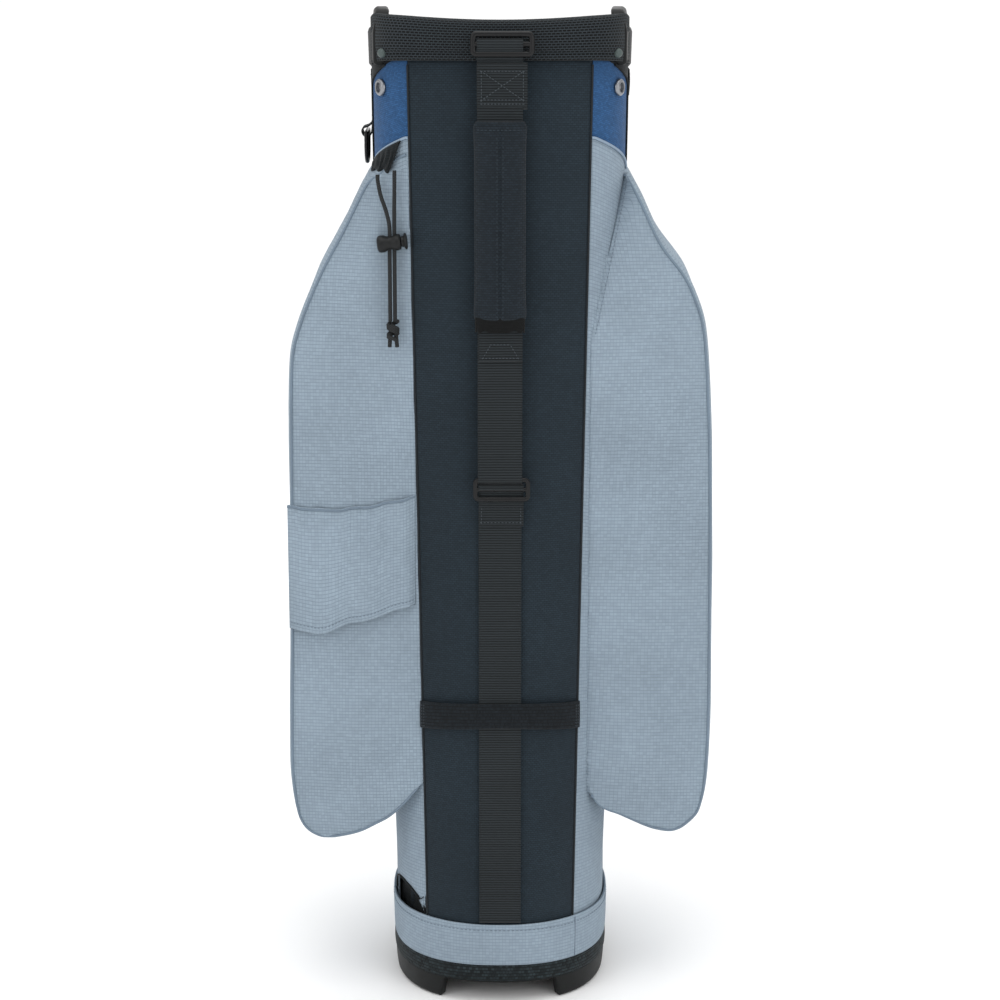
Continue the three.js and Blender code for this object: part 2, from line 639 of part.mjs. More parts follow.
// A loose fabric sleeve across the left pocket's back, which holds an umbrella's shaft
const SLEEVE = { left: -193, right: -86, low: 357, high: 480, gap: 5, cloth: 1.2 };
function umbrellaSleeve() {
  const rear = POCKET_REAR - GAP;
  const outside = block(
    [SLEEVE.left, rear - SLEEVE.gap - SLEEVE.cloth, SLEEVE.low], [SLEEVE.right, rear, SLEEVE.high],
  );
  const inside = block(
    [SLEEVE.left + 4, rear - SLEEVE.gap, SLEEVE.low - 5], [SLEEVE.right - 4, rear + 5, SLEEVE.high + 5],
  );
  return cut(outside, inside);
}
place('umbrella_sleeve', umbrellaSleeve(), greyCloth());

// ---------------------------------------------------------------- front pockets
// A hollow pocket on the front panel: a rounded box cut to the bag's wall, with a zip slit
function frontPocket(name, half, low, high, front) {
  const height = high - low;
  const middle = (high + low) / 2;
  const boxOf = (inset, rear) => {
    const shape = roundedRectangle(2 * (half - inset), height - 2 * inset, 26 - inset);
    return upright(shape, rear, front - inset, 3).translate(0, 0, middle);
  };
  const tube = turned([[50], [50, OVER], [480, OVER], [820, OVER], [820]], 64);
  const lining = turned([
    [40], [40, OVER + POCKET_WALL], [480, OVER + POCKET_WALL], [830, OVER + POCKET_WALL], [830],
  ], 64);
  const zipX = half - 34;
  const slit = block(
    [zipX - ZIP_SLIT / 2, front - 20, low + 36], [zipX + ZIP_SLIT / 2, front + 20, high - 36],
  );
  const hollow = solid(boxOf(POCKET_WALL, 40)).subtract(solid(lining)).add(solid(slit));
  const shell = solid(boxOf(0, 60)).subtract(solid(tube)).subtract(hollow);
  place(`${name}_pocket`, geometryOf(shell), greyCloth());
  zip(name, zipX, front, low + 36, high - 36);
}
frontPocket('ball', 84, 92, 322, 185.9);
frontPocket('accessory', 78, 352, 640, 172);

export default bag;
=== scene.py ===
# A golf cart bag: a tall oval bag on a moulded base, with a 14-way moulded top, a padded
# strap down its spine, two long side pockets and two front pockets. The sections follow the
# bag as it is put together, and sizes are in millimetres about the axis of the bag's tube.
from math import atan2, cos, exp, pi, radians, sin

import bmesh
import bpy
from mathutils import Matrix, Vector, noise


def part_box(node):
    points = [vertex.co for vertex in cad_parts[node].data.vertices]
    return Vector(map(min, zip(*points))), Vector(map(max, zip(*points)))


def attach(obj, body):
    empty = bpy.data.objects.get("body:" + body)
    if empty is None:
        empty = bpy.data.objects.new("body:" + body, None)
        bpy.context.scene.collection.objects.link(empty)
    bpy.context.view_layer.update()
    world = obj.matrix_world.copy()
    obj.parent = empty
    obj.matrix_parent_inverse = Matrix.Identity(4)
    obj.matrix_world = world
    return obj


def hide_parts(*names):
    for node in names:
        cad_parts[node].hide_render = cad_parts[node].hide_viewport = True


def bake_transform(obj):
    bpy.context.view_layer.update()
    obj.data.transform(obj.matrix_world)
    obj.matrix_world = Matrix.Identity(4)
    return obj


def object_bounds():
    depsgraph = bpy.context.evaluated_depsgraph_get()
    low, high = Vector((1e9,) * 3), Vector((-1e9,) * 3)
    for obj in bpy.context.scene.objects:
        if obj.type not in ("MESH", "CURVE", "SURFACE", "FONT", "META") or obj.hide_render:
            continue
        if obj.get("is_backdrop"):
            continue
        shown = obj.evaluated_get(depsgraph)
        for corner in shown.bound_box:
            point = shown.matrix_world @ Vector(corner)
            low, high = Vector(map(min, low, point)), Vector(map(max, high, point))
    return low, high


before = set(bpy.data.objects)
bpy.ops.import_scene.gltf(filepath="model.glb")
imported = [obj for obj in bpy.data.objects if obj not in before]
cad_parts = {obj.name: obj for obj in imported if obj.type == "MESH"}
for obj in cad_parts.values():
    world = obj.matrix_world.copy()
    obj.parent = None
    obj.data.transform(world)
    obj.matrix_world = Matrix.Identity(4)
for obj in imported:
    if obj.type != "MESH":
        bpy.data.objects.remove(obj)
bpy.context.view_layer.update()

# ---------------------------------------------------------------- studio
# A pale floor and a pale room, four large soft lamps, and a camera that stands square to
# the spine and looks down a little.
scene = bpy.context.scene
scene.view_settings.view_transform = "Standard"

camera = bpy.data.objects.new("camera", bpy.data.cameras.new("camera"))
scene.collection.objects.link(camera)
camera.location = (0, -2.429, 1.0248)
camera.rotation_euler = (radians(90 - 13.32), 0, 0)
camera.data.lens = 94.64
camera.data.sensor_width = 36
scene.camera = camera

room = bpy.data.worlds.new("room")
scene.world = room
room.use_nodes = True


def softbox(name, place, target, size, watts):
    """A square soft lamp at a place in metres, aimed at a target"""
    lamp = bpy.data.lights.new(name, "AREA")
    lamp.size = size
    lamp.energy = watts
    stand = bpy.data.objects.new(name, lamp)
    scene.collection.objects.link(stand)
    stand.location = place
    aim = Vector(target) - Vector(place)
    stand.rotation_euler = aim.to_track_quat("-Z", "Y").to_euler()


softbox("softbox_left", (-1.9, -1.9, 1.5), (0, 0, 0.5), 1.2, 9)
softbox("softbox_right", (1.7, -2.1, 1.3), (0, 0, 0.5), 1.2, 9)
softbox("softbox_top", (0, -0.6, 2.6), (0, 0, 0.4), 1.4, 9)
softbox("softbox_rear", (0.4, 2.4, 1.6), (0, 0, 0.5), 1.4, 9)


def tint(red, green, blue):
    """A linear colour from red, green and blue of 0 to 255"""
    return [(c / 255 / 12.92 if c < 11 else ((c / 255 + 0.055) / 1.055) ** 2.4)
            for c in (red, green, blue)] + [1]


def plug(node, sockets):
    """Sets a node's sockets to values, or links them where the value is an output"""
    for key, value in sockets.items():
        if isinstance(value, bpy.types.NodeSocket):
            node.id_data.links.new(value, node.inputs[key])
        else:
            node.inputs[key].default_value = value


def wire(tree, kind, sockets=None, **settings):
    """A new shader node with its settings and its sockets"""
    made = tree.nodes.new("ShaderNode" + kind)
    for key, value in settings.items():
        setattr(made, key, value)
    plug(made, sockets or {})
    return made


def blank_finish(name):
    """A new material, its node tree, its shader and its piece's own coordinates"""
    material = bpy.data.materials.new(name)
    material.use_nodes = True
    tree = material.node_tree
    place = wire(tree, "TexCoord").outputs["Object"]
    return material, tree, tree.nodes["Principled BSDF"], place


def moulded(name, colour, roughness, grain=900, depth=0.00012, wear=1.5, metallic=0, coat=0,
            shine=0.3):
    """Plastic or metal: a fine grain, slow changes of gloss, and paler rubbed patches"""
    material, tree, shader, place = blank_finish(name)
    cloud = wire(tree, "TexNoise", {"Vector": place, "Scale": 22, "Detail": 4}).outputs["Fac"]
    fine = wire(tree, "TexNoise", {"Vector": place, "Scale": grain, "Detail": 2}).outputs["Fac"]
    rubbed = [min(1, c * wear + 0.004) for c in colour[:3]] + [1]
    shade = wire(tree, "Mix", {"Factor": cloud, "A": colour, "B": rubbed}, data_type="RGBA")
    gloss = wire(tree, "MapRange", {
        "Value": cloud, "From Min": 0.3, "From Max": 0.7,
        "To Min": roughness * 0.8, "To Max": min(1, roughness * 1.25)})
    relief = wire(tree, "Bump", {"Height": fine, "Strength": 0.6, "Distance": depth})
    plug(shader, {"Base Color": shade.outputs["Result"], "Roughness": gloss.outputs["Result"],
                  "Normal": relief.outputs["Normal"], "Metallic": metallic,
                  "Specular IOR Level": shine, "Coat Weight": coat, "Coat Roughness": 0.12})
    return material


sky = wire(room.node_tree, "TexCoord").outputs["Generated"]
up = wire(room.node_tree, "SeparateXYZ", {"Vector": sky}).outputs["Z"]
glow = wire(room.node_tree, "ValToRGB", {"Fac": up})
ramp = glow.color_ramp.elements
for place, level in ((0.08, 0.65), (0.12, 0.24)):
    ramp.new(place).color = (level, level, level, 1)
ramp[0].color, ramp[3].color = (0.65, 0.65, 0.65, 1), (1, 1, 1, 1)
plug(room.node_tree.nodes["Background"], {"Color": glow.outputs["Color"], "Strength": 1.54})

floor_bm = bmesh.new()
bmesh.ops.create_grid(floor_bm, x_segments=1, y_segments=1, size=60)
floor_mesh = bpy.data.meshes.new("studio_floor")
floor_bm.to_mesh(floor_mesh)
studio_floor = bpy.data.objects.new("studio_floor", floor_mesh)
scene.collection.objects.link(studio_floor)
floor_mesh.materials.append(moulded("floor_paint", [0.97, 0.97, 0.97, 1], 0.9, wear=1.0))
studio_floor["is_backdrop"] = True

# ---------------------------------------------------------------- elastic cord
# Both ends of one 3.5 mm elastic cord come out of the channel under the left piping, run
# through the cord lock and meet in a knot. The cord has a braided sheath.
MM = 0.001
cup_low, cup_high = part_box("base_cup")
AXIS_Y = (cup_low.y + cup_high.y) / 2


def at(x, y, z):
    """A point given in millimetres about the tube's axis"""
    return Vector((x * MM, y * MM + AXIS_Y, z * MM))


def fit(name, mesh, material, body="root", slot=None, stands_for=(), sharp=40):
    """A piece of the bag from a bmesh or a mesh, smooth but for its sharp edges, on its body"""
    if isinstance(mesh, bmesh.types.BMesh):
        made = bpy.data.meshes.new(name)
        mesh.to_mesh(made)
        mesh.free()
        mesh = made
    mesh.shade_smooth()
    mesh.set_sharp_from_angle(angle=radians(sharp))
    mesh.materials.clear()
    mesh.materials.append(material)
    obj = bpy.data.objects.new(name, mesh)
    scene.collection.objects.link(obj)
    if body:
        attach(obj, body)
    if stands_for:
        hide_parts(*stands_for)
    return obj


def smooth_path(points, steps=8):
    """Points along one smooth curve through the given points"""
    points = [Vector(p) for p in points]
    ends = [2 * points[0] - points[1]] + points + [2 * points[-1] - points[-2]]
    path = []
    for a, b, c, d in zip(ends, ends[1:], ends[2:], ends[3:]):
        for i in range(steps):
            t = i / steps
            path.append(0.5 * ((2 * b) + (c - a) * t + (2 * a - 5 * b + 4 * c - d) * t ** 2
                               + (3 * b - a - 3 * c + d) * t ** 3))
    return path + [points[-1]]


def solved(obj):
    """A new mesh of an object with its modifiers or its bevel worked out"""
    bpy.context.view_layer.update()
    return bpy.data.meshes.new_from_object(
        obj.evaluated_get(bpy.context.evaluated_depsgraph_get()))


def swept(paths, radius, closed=False, sides=3, flat=1.0):
    """A mesh of round bars of one radius, in millimetres, along paths of frame points"""
    line = bpy.data.curves.new("swept", "CURVE")
    line.dimensions = "3D"
    line.bevel_depth = radius * MM
    line.bevel_resolution = sides
    line.use_fill_caps = True
    for path in paths:
        spline = line.splines.new("POLY")
        spline.points.add(len(path) - 1)
        spline.use_cyclic_u = closed
        for point, place in zip(spline.points, path):
            point.co = (*place, 1)
    holder = bpy.data.objects.new("swept", line)
    scene.collection.objects.link(holder)
    mesh = solved(holder)
    bpy.data.objects.remove(holder)
    return mesh


def braided(name, colour, paler, pitch):
    """A cord's braided sheath: two sets of diagonal ridges that cross"""
    material, tree, shader, place = blank_finish(name)
    ridges = []
    for turn in (0.7, -0.7):
        turned = wire(tree, "Mapping", {"Vector": place, "Rotation": (0, turn, 0)})
        ridges.append(wire(tree, "TexWave", {
            "Vector": turned.outputs["Vector"], "Scale": 1 / (pitch * 3.2), "Distortion": 0.4,
            "Detail": 1}, bands_direction="Z").outputs["Fac"])
    both = wire(tree, "Math", {0: ridges[0], 1: ridges[1]}, operation="MULTIPLY").outputs[0]
    ramp = wire(tree, "ValToRGB", {"Fac": both})
    ramp.color_ramp.elements[0].color = colour
    ramp.color_ramp.elements[1].color = paler
    relief = wire(tree, "Bump", {"Height": both, "Strength": 0.8, "Distance": 0.0003})
    plug(shader, {"Base Color": ramp.outputs["Color"], "Normal": relief.outputs["Normal"],
                  "Roughness": 0.8})
    return material


cord_sheath = braided("cord_sheath", tint(10, 12, 13), tint(36, 41, 44), 0.0016)
STRANDS = {
    "left": [(-107, -100.1, 772.3), (-106.8, -100.6, 767), (-104.4, -103.6, 755),
             (-99.5, -107.6, 741), (-96.6, -110, 728), (-96.6, -110, 712),
             (-96.6, -110, 690), (-96.6, -110, 666), (-96.6, -110, 644.3)],
    "right": [(-92, -106.8, 776.7), (-92, -107, 771), (-92.1, -107.8, 760),
              (-92.3, -109.2, 745), (-92.4, -110, 728), (-92.4, -110, 712),
              (-92.4, -110, 690), (-92.4, -110, 666), (-92.4, -110, 644.3)],
}
CORD_RADIUS = 1.75
cord_paths, cord_parts = {}, {}
for side, points in STRANDS.items():
    path = cord_paths[side] = smooth_path([at(*p) for p in points], 4)
    cord_parts[side] = fit(f"cord_{side}", swept([path], CORD_RADIUS, sides=4), cord_sheath,
                           slot="elastic_cord", stands_for=[f"bungee_{side}"])

# The knot: an overhand knot's bulge with two short tails below it.
knot_turns = []
for start in (0.0, 2.1, 4.2):
    knot_turns.append([at(-94.3 + 4.1 * cos(start + t * 0.5),
                          -110 + 3.3 * sin(start + t * 0.5), 644.5 - t * 0.85 - start * 0.8)
                       for t in range(16)])
knot_turns += [smooth_path([at(x, -110, 634), at(x + lean, -110.5, 628),
                            at(x + 2 * lean, -110, 621.5)], 4)
               for x, lean in ((-96.6, -0.4), (-91.8, 0.5))]
cord_knot = fit("cord_knot", swept(knot_turns, 1.8, sides=3), cord_sheath,
                slot="elastic_cord", stands_for=["bungee_knot"])


def spun(profile, sides=48):
    """A closed piece turned about Z from points of (radius, height), in millimetres"""
    bm = bmesh.new()
    verts = [bm.verts.new((r * MM, 0, z * MM)) for r, z in profile]
    edges = [bm.edges.new(pair) for pair in zip(verts, verts[1:])]
    bmesh.ops.spin(bm, geom=verts + edges, cent=(0, 0, 0), axis=(0, 0, 1), angle=2 * pi,
                   steps=sides, use_merge=True)
    bmesh.ops.remove_doubles(bm, verts=bm.verts, dist=1e-6)
    bmesh.ops.recalc_face_normals(bm, faces=bm.faces)
    return bm


def set_at(bm, place, direction=(0, 0, 1)):
    """Moves a piece made about Z to its place, with its Z along a direction"""
    turn = Vector(direction).to_track_quat("Z", "Y").to_matrix().to_4x4()
    bmesh.ops.transform(bm, matrix=Matrix.Translation(place) @ turn, verts=bm.verts)
    return bm


# The cord lock: a barrel with a sprung button at its right end, moulded in one plastic.
lock_plastic = moulded("lock_plastic", tint(11, 13, 14), 0.4, shine=0.25)
lock_place, LOCK_TILT = at(-94.1, -110, 714), (1, 0, 0.12)
lock_body = fit("cord_lock_barrel", set_at(spun([
    (0, -13.6), (4.6, -13.6), (6.2, -13), (7.3, -11.8), (7.7, -10.2), (7.4, -7), (6.2, -4.6),
    (5.8, -2), (6.2, 0.6), (7.2, 2), (7.4, 4.4), (6.9, 6.6), (6.3, 7.2), (5.5, 7.2), (5.4, 3.9),
    (0, 3.9)]), lock_place, LOCK_TILT), lock_plastic, "cord_lock", "moulding",
    ["cord_lock_body"])
lock_button = fit("cord_lock_plunger", set_at(spun([
    (0, 7.05), (3.0, 7.05), (4.8, 7.9), (4.8, 10.3), (6.3, 10.4), (7.1, 10.8), (7.4, 11.6),
    (6.9, 12.6), (5.2, 13), (3, 12.8), (0, 12.7)]), lock_place, LOCK_TILT), lock_plastic,
    "cord_lock_button", "hardware", ["cord_lock_button"])
for side, extra in (("left", [cord_knot, lock_body, lock_button]), ("right", [])):
    path = [tuple(p) for p in cord_paths[side]]

# ---------------------------------------------------------------- moulded base
# One injection moulding: a skirt with a foot lobe each side of the rear notch, a wall that
# the fabric is sewn round, and a raised floor inside.


def rise(z):
    """Height as a share of the tube's wall: 0 just above its foot, 1 at the collar"""
    return (z - 60) / 820


def half_width(z):
    return 99 + 16 * rise(z)


def half_depth(z):
    return 112 + 5 * rise(z)


def squareness(z):
    """The oval's power: the tube is squarer towards its top"""
    return 2.4 + 1.6 * max(0, rise(z)) ** 2


def wall(z, grow, angle):
    """The point of the tube's wall at a height, grown outwards, at an angle from +X"""
    n = squareness(z)
    across = abs(cos(angle)) / (half_width(z) + grow)
    along = abs(sin(angle)) / (half_depth(z) + grow)
    radius = (across ** n + along ** n) ** (-1 / n)
    return radius * cos(angle), radius * sin(angle)


def rear_y(z, x):
    """How far back the wall is at a distance x from the middle"""
    n = squareness(z)
    share = min(1, abs(x / half_width(z)))
    return -half_depth(z) * (1 - share ** n) ** (1 / n)


def mapped(across, up, place, wrap=False, wrap_up=False, outwards=True):
    """A grid of squares whose corners go to place(u, v), u and v from 0 to 1, in millimetres.
    Its UV map runs in metres along the middle row and column, for weaves."""
    bm = bmesh.new()
    bmesh.ops.create_grid(bm, x_segments=across, y_segments=up, size=0.5)
    cells, spots = {}, {}
    for v in bm.verts:
        i, j = round((v.co.x + 0.5) * across), round((v.co.y + 0.5) * up)
        cells[v] = i, j
        spots[i, j] = v.co = at(*place(i / across, j / up))
    u_at, v_at = [0], [0]
    for i in range(across):
        u_at.append(u_at[-1] + (spots[i + 1, up // 2] - spots[i, up // 2]).length)
    for j in range(up):
        v_at.append(v_at[-1] + (spots[across // 2, j + 1] - spots[across // 2, j]).length)
    weave = bm.loops.layers.uv.new("weave")
    for face in bm.faces:
        for loop in face.loops:
            i, j = cells[loop.vert]
            loop[weave].uv = u_at[i], v_at[j]
    if wrap or wrap_up:
        bmesh.ops.remove_doubles(bm, verts=bm.verts, dist=1e-6)
    if wrap and wrap_up:
        bmesh.ops.recalc_face_normals(bm, faces=bm.faces)
    elif outwards:
        lean = sum((f.normal.dot(Vector((*(f.calc_center_median() - at(0, 0, 0)).xy, 0)))
                    * f.calc_area()) for f in bm.faces)
        if lean < 0:
            bmesh.ops.reverse_faces(bm, faces=bm.faces)
    return bm


SLOPE, REAR_Y = 0.12, 117


def ring(profile, around=200, slope=0.0):
    """A closed ring round the oval from points of (height, growth), sloped to the front"""
    count = len(profile)

    def place(u, v):
        z, grow = profile[round(v * count) % count]
        x, y = wall(z, grow, u * 2 * pi)
        return x, y, z - slope * (y + REAR_Y)
    return mapped(around, count, place, wrap=True, wrap_up=True)


def edged(obj, width, segments=2, angle=35):
    """A small rounding along a piece's sharp edges"""
    bevel = obj.modifiers.new("rounding", "BEVEL")
    bevel.width = width * MM
    bevel.segments = segments
    bevel.limit_method = "ANGLE"
    bevel.angle_limit = radians(angle)
    return obj


def thick(obj, depth, offset=-1):
    """A wall of a thickness, behind the surface as modelled"""
    shell = obj.modifiers.new("thickness", "SOLIDIFY")
    shell.thickness = depth * MM
    shell.offset = offset
    return obj


base_plastic = moulded("base_plastic", tint(11, 13, 13), 0.5, wear=1.6, shine=0.22)
NOTCH_HALF, NOTCH_TOP, HEM, BASE_HIGH = 53, 21, 21.7, 22


def skirt_foot(angle):
    """Height of the skirt's lower edge: the floor, or the notch's top behind"""
    x, y = wall(10, 1, angle)
    if y > 0:
        return 0
    side = max(0, min(1, (NOTCH_HALF + 3.5 - abs(x)) / 5))
    return NOTCH_TOP * side * side * (3 - 2 * side)


def skirt(u, v):
    """From the wall's top at v 0, round the skirt's foot at v 0.6, to the floor's edge"""
    angle = u * 2 * pi
    low = skirt_foot(angle)
    if v < 0.1:
        z, grow = 60 - 38.3 * v / 0.1, -3.5
    elif v < 0.15:
        z, grow = HEM, -3.5 + 6 * (v - 0.1) / 0.05
    elif v < 0.55:
        t = (v - 0.15) / 0.4
        z, grow = HEM + (low - HEM) * t, 2.5 - 1.5 * t * t - 2.6 * max(0, (t - 0.8) / 0.2) ** 3
    elif v < 0.7:
        t = (v - 0.55) / 0.15
        z, grow = low, -1.6 - 5.4 * t
    else:
        t = (v - 0.7) / 0.3
        z, grow = low + (BASE_HIGH - low) * t, -7 - 0.5 * t
    x, y = wall(max(z, 0.2), grow, angle)
    return x, y, z


base_skirt = fit("base_skirt", mapped(420, 40, skirt, wrap=True), base_plastic,
                 slot="moulding", stands_for=["base_cup"])
thick(base_skirt, 2.6)
fit("base_plate", ring([(22, -8.2), (25, -8.2), (25, -20), (24.2, -30), (24.2, -98),
                        (22, -98)], 120), base_plastic, slot="moulding",
    stands_for=["base_floor"])

# The binding: a textured black strip sewn round the fabric's lower edge.


def cloth_shader(tree, shader, shade, brick, place, fuzz, share, relief, strength, constants):
    """Gives a cloth its colour, and relief from its threads and a share of fine fuzz"""
    fibres = wire(tree, "TexNoise", {"Vector": place, "Scale": fuzz, "Detail": 2})
    height = wire(tree, "Math", {0: fibres.outputs["Fac"], 1: share, 2: brick.outputs["Fac"]},
                  operation="MULTIPLY_ADD")
    bump = wire(tree, "Bump", {"Height": height.outputs[0], "Strength": strength,
                               "Distance": relief}, invert=True)
    plug(shader, {"Base Color": shade, "Normal": bump.outputs["Normal"], **constants})


def woven(name, thread, gap, pitch, stagger, relief=0.0003, drift=0.0006, mottle_and_highlight=0.18,
          sheen=0.06, roughness=0.85, mortar=0.05, speckle=0.25, shine=0.22):
    """Woven cloth on a piece's own UV map in metres: rounded thread crossings of pitch
    millimetres across and up, darker in the gaps, with slow random mottling that also paints
    broad soft highlights, and a soft sheen"""
    material, tree, shader, place = blank_finish(name)
    uv = wire(tree, "UVMap", uv_map="weave").outputs["UV"]
    sway = wire(tree, "TexNoise", {"Vector": place, "Scale": 14, "Detail": 2}).outputs["Color"]
    centred = wire(tree, "VectorMath", {0: sway, 1: (0.5, 0.5, 0.5)}, operation="SUBTRACT")
    moved = wire(tree, "VectorMath", {0: centred.outputs[0], 1: (drift * 4,) * 3, 2: uv},
                 operation="MULTIPLY_ADD")
    scaled = wire(tree, "Mapping", {"Vector": moved.outputs[0], "Location": (0.25, 0, 0),
                                    "Scale": (500 / pitch[0], 250 / pitch[1], 1)})
    deep = [c * (1 - speckle) for c in thread[:3]] + [1]
    pale = [min(1, c * (1 + speckle)) for c in thread[:3]] + [1]
    brick = wire(tree, "TexBrick", {
        "Vector": scaled.outputs["Vector"], "Color1": deep, "Color2": pale, "Mortar": gap,
        "Scale": 1, "Mortar Size": mortar, "Mortar Smooth": 1, "Bias": 0,
        "Brick Width": 0.5, "Row Height": 0.25}, offset=stagger)
    # Slow noise patches: random tone, and painted highlight standing in for broad soft highlights.
    cloud = wire(tree, "TexNoise", {"Vector": place, "Scale": 9, "Detail": 5,
                                    "Roughness": 0.6}).outputs["Fac"]
    level = wire(tree, "MapRange", {"Value": cloud, "From Min": 0.3, "From Max": 0.7,
                                    "To Min": 1 - mottle_and_highlight, "To Max": 1 + mottle_and_highlight})
    shade = wire(tree, "VectorMath", {0: brick.outputs["Color"], 1: level.outputs["Result"]},
                 operation="MULTIPLY")
    cloth_shader(tree, shader, shade.outputs[0], brick, place, 1500, 0.35, relief, 0.7, {
        "Roughness": roughness, "Specular IOR Level": shine, "Sheen Weight": sheen,
        "Sheen Roughness": 0.4})
    return material


binding_tape = woven("binding_tape", tint(34, 42, 45), tint(10, 13, 14), (3.0, 3.0), 0.5,
                     mortar=0.06, speckle=0.55, relief=0.0005)
fit("base_trim", ring([(22, 1), (22, 2.6), (24, 3.3), (29, 3.6), (34, 3.4), (37.2, 3.0),
                       (37.7, 1)]), binding_tape, slot="webbing", stands_for=["base_binding"])

# The band: grey cloth folded over at its top edge and stitched round the bag's foot, with
# one upright seam behind.
grey_cloth = woven("grey_cloth", tint(139, 154, 167), tint(117, 131, 143), (3.1, 3.1), 0.0,
                   speckle=0.06, mottle_and_highlight=0.09, mortar=0.035)
grey_thread = moulded("grey_thread", tint(96, 108, 120), 0.8)
black_thread = moulded("black_thread", tint(58, 64, 69), 0.8)


def stitched(name, rows, material, body="root", slot=None, pitch=4.0, length=2.7, radius=0.38):
    """Rows of thread: each stitch is a small rounded dash along its row of frame points"""
    bm = bmesh.new()
    for row in rows:
        start = 0.0
        for a, b in zip(row, row[1:]):
            span = (b - a).length
            if span < 1e-9:
                continue
            turn = (b - a).to_track_quat("Z", "Y").to_matrix().to_4x4()
            while start < span:
                middle = a + (b - a) * (start / span)
                size = Matrix.Diagonal((radius * MM, radius * MM, length * MM / 2, 1))
                bmesh.ops.create_uvsphere(bm, u_segments=6, v_segments=4, radius=1,
                                          matrix=Matrix.Translation(middle) @ turn @ size)
                start += pitch * MM
            start -= span
    return fit(name, bm, material, body, slot)


def on_wall(angles, z, grow):
    """Frame points on the wall for a run of angles, z and grow being numbers or functions"""
    points = []
    for angle in angles:
        height = z(angle) if callable(z) else z
        x, y = wall(height, grow, angle)
        points.append(at(x, y, height))
    return points


def spread(start, stop, count):
    """Even numbers from start to stop, both among them"""
    return [start + (stop - start) * i / count for i in range(count + 1)]


FULL_TURN = spread(0, 2 * pi, 240)


def band(u, v):
    """The band's outside, from its lower edge up and over the folded top edge"""
    angle = u * 2 * pi
    top = 78 + 0.5 * sin(angle * 5)
    swell = 0.5 * noise.noise(Vector((cos(angle) * 3, sin(angle) * 3, v * 1.5)))
    if v < 0.1:
        z, grow = 38, 1 + 22 * v
    elif v < 0.9:
        t = (v - 0.1) / 0.8
        z, grow = 38 + (top - 38) * t, 3.2 + 0.5 * sin(pi * t) + swell * sin(pi * t)
        grow -= 0.5 * exp(-((z - top + 5) / 1.4) ** 2)
    else:
        t = (v - 0.9) / 0.1
        z, grow = top + 0.3 * sin(pi * t), 3.2 - 2.2 * t
    x, y = wall(z, grow, angle)
    return x, y, z


grey_band = fit("base_cuff", mapped(240, 34, band, wrap=True), grey_cloth,
                slot="grey_cloth", stands_for=["base_band"])
thick(grey_band, 0.8)
seam_turn = atan2(rear_y(58, 68), 68)
stitched("band_stitches", [on_wall(FULL_TURN, 72.6, 3.4)], grey_thread, slot="grey_cloth")
fit("band_seam", swept([[at(*wall(z, 3.3, seam_turn), z) for z in spread(39, 77.5, 12)]], 0.7),
    grey_thread, slot="grey_cloth")

# ---------------------------------------------------------------- fabric body
# Padded cloth sewn into a tall tube: a dark spine panel in a fine square weave, grey side
# and front panels in ripstop, and blue corners under the collar with a pale piping.


def spine_half(z):
    """Half the spine panel's width, which grows from the band to the collar"""
    return 68 + 12 * (z - 78) / 795


def spine_angle(z):
    """The angle of the spine panel's right edge"""
    half = spine_half(z)
    return atan2(rear_y(z, half), half)


def panel_top(angle):
    """Height of the cloth's upper edge, sewn under the collar"""
    return 872.5 - SLOPE * (wall(873, 0, angle)[1] + REAR_Y)


def corner_line(angle):
    """Height of the blue corners' lower edge: it falls outwards from the spine"""
    away = abs(angle + pi / 2) - 0.66
    return 805 - 45 * min(1, max(0, away / 0.8))


def ripple(x, y, z, size, amount):
    """A soft wrinkle's height at a point, longer up the bag than across it"""
    spot = Vector((x / size, y / size, z / (size * 1.8)))
    return amount * (noise.noise(spot) + 0.4 * noise.noise(spot * 2.3))


CORNER_Z = 800


def panel(name, start, stop, low, high, material, slot, node, across, up, wrinkle, size=45):
    """A panel of the tube's wall between two angles and two heights, softly wrinkled"""
    def height(limit, u):
        """The height of an edge, found in a few rounds because the panel's sides lean"""
        z = CORNER_Z
        for _ in range(4):
            z = limit(start(z) + (stop(z) - start(z)) * u)
        return z

    def place(u, v):
        foot = height(low, u)
        z = foot + (height(high, u) - foot) * v
        angle = start(z) + (stop(z) - start(z)) * u
        edge = min(1, 12 * u, 12 * (1 - u)) * min(1, 25 * v, 25 * (1 - v))
        x, y = wall(z, 0, angle)
        x, y = wall(z, -0.35 + edge * ripple(x, y, z, size, wrinkle), angle)
        return x, y, z
    made = fit(name, mapped(across, up, place), material, slot=slot, stands_for=[node])
    return thick(made, 2.2)


spine_cloth = woven("spine_cloth", tint(33, 44, 52), tint(17, 25, 31), (3.4, 2.0), 0.5,
                    speckle=0.12, mottle_and_highlight=0.1, mortar=0.045)
black_cloth = woven("black_cloth", tint(26, 31, 34), tint(11, 13, 14), (2.2, 2.2), 0.5,
                    speckle=0.3)
blue_cloth = woven("blue_cloth", tint(46, 84, 127), tint(34, 65, 102), (2.6, 1.9), 0.5,
                   speckle=0.2, mottle_and_highlight=0.08)


def panel_foot(angle):
    """Height of the cloth's lower edge, under the binding"""
    return 22.4


panel("spine_cover", lambda z: -pi - spine_angle(z), spine_angle, panel_foot, panel_top,
      spine_cloth, "black_cloth", "spine_panel", 60, 300, 0.5)
FRONT_EDGE = radians(35)
panel("front_cover", lambda z: FRONT_EDGE, lambda z: pi - FRONT_EDGE, panel_foot,
      panel_top, grey_cloth, "grey_cloth", "front_panel", 60, 200, 1.1)
SEAM_GAP = 0.004
SIDES = {
    "left": (-1, lambda z: -pi - FRONT_EDGE + SEAM_GAP, lambda z: -pi - spine_angle(z) - SEAM_GAP),
    "right": (1, lambda z: spine_angle(z) + SEAM_GAP, lambda z: FRONT_EDGE - SEAM_GAP),
}
side_cover = {}


def above(angle):
    """The upper side of the blue corners' seam"""
    return corner_line(angle) + 0.3


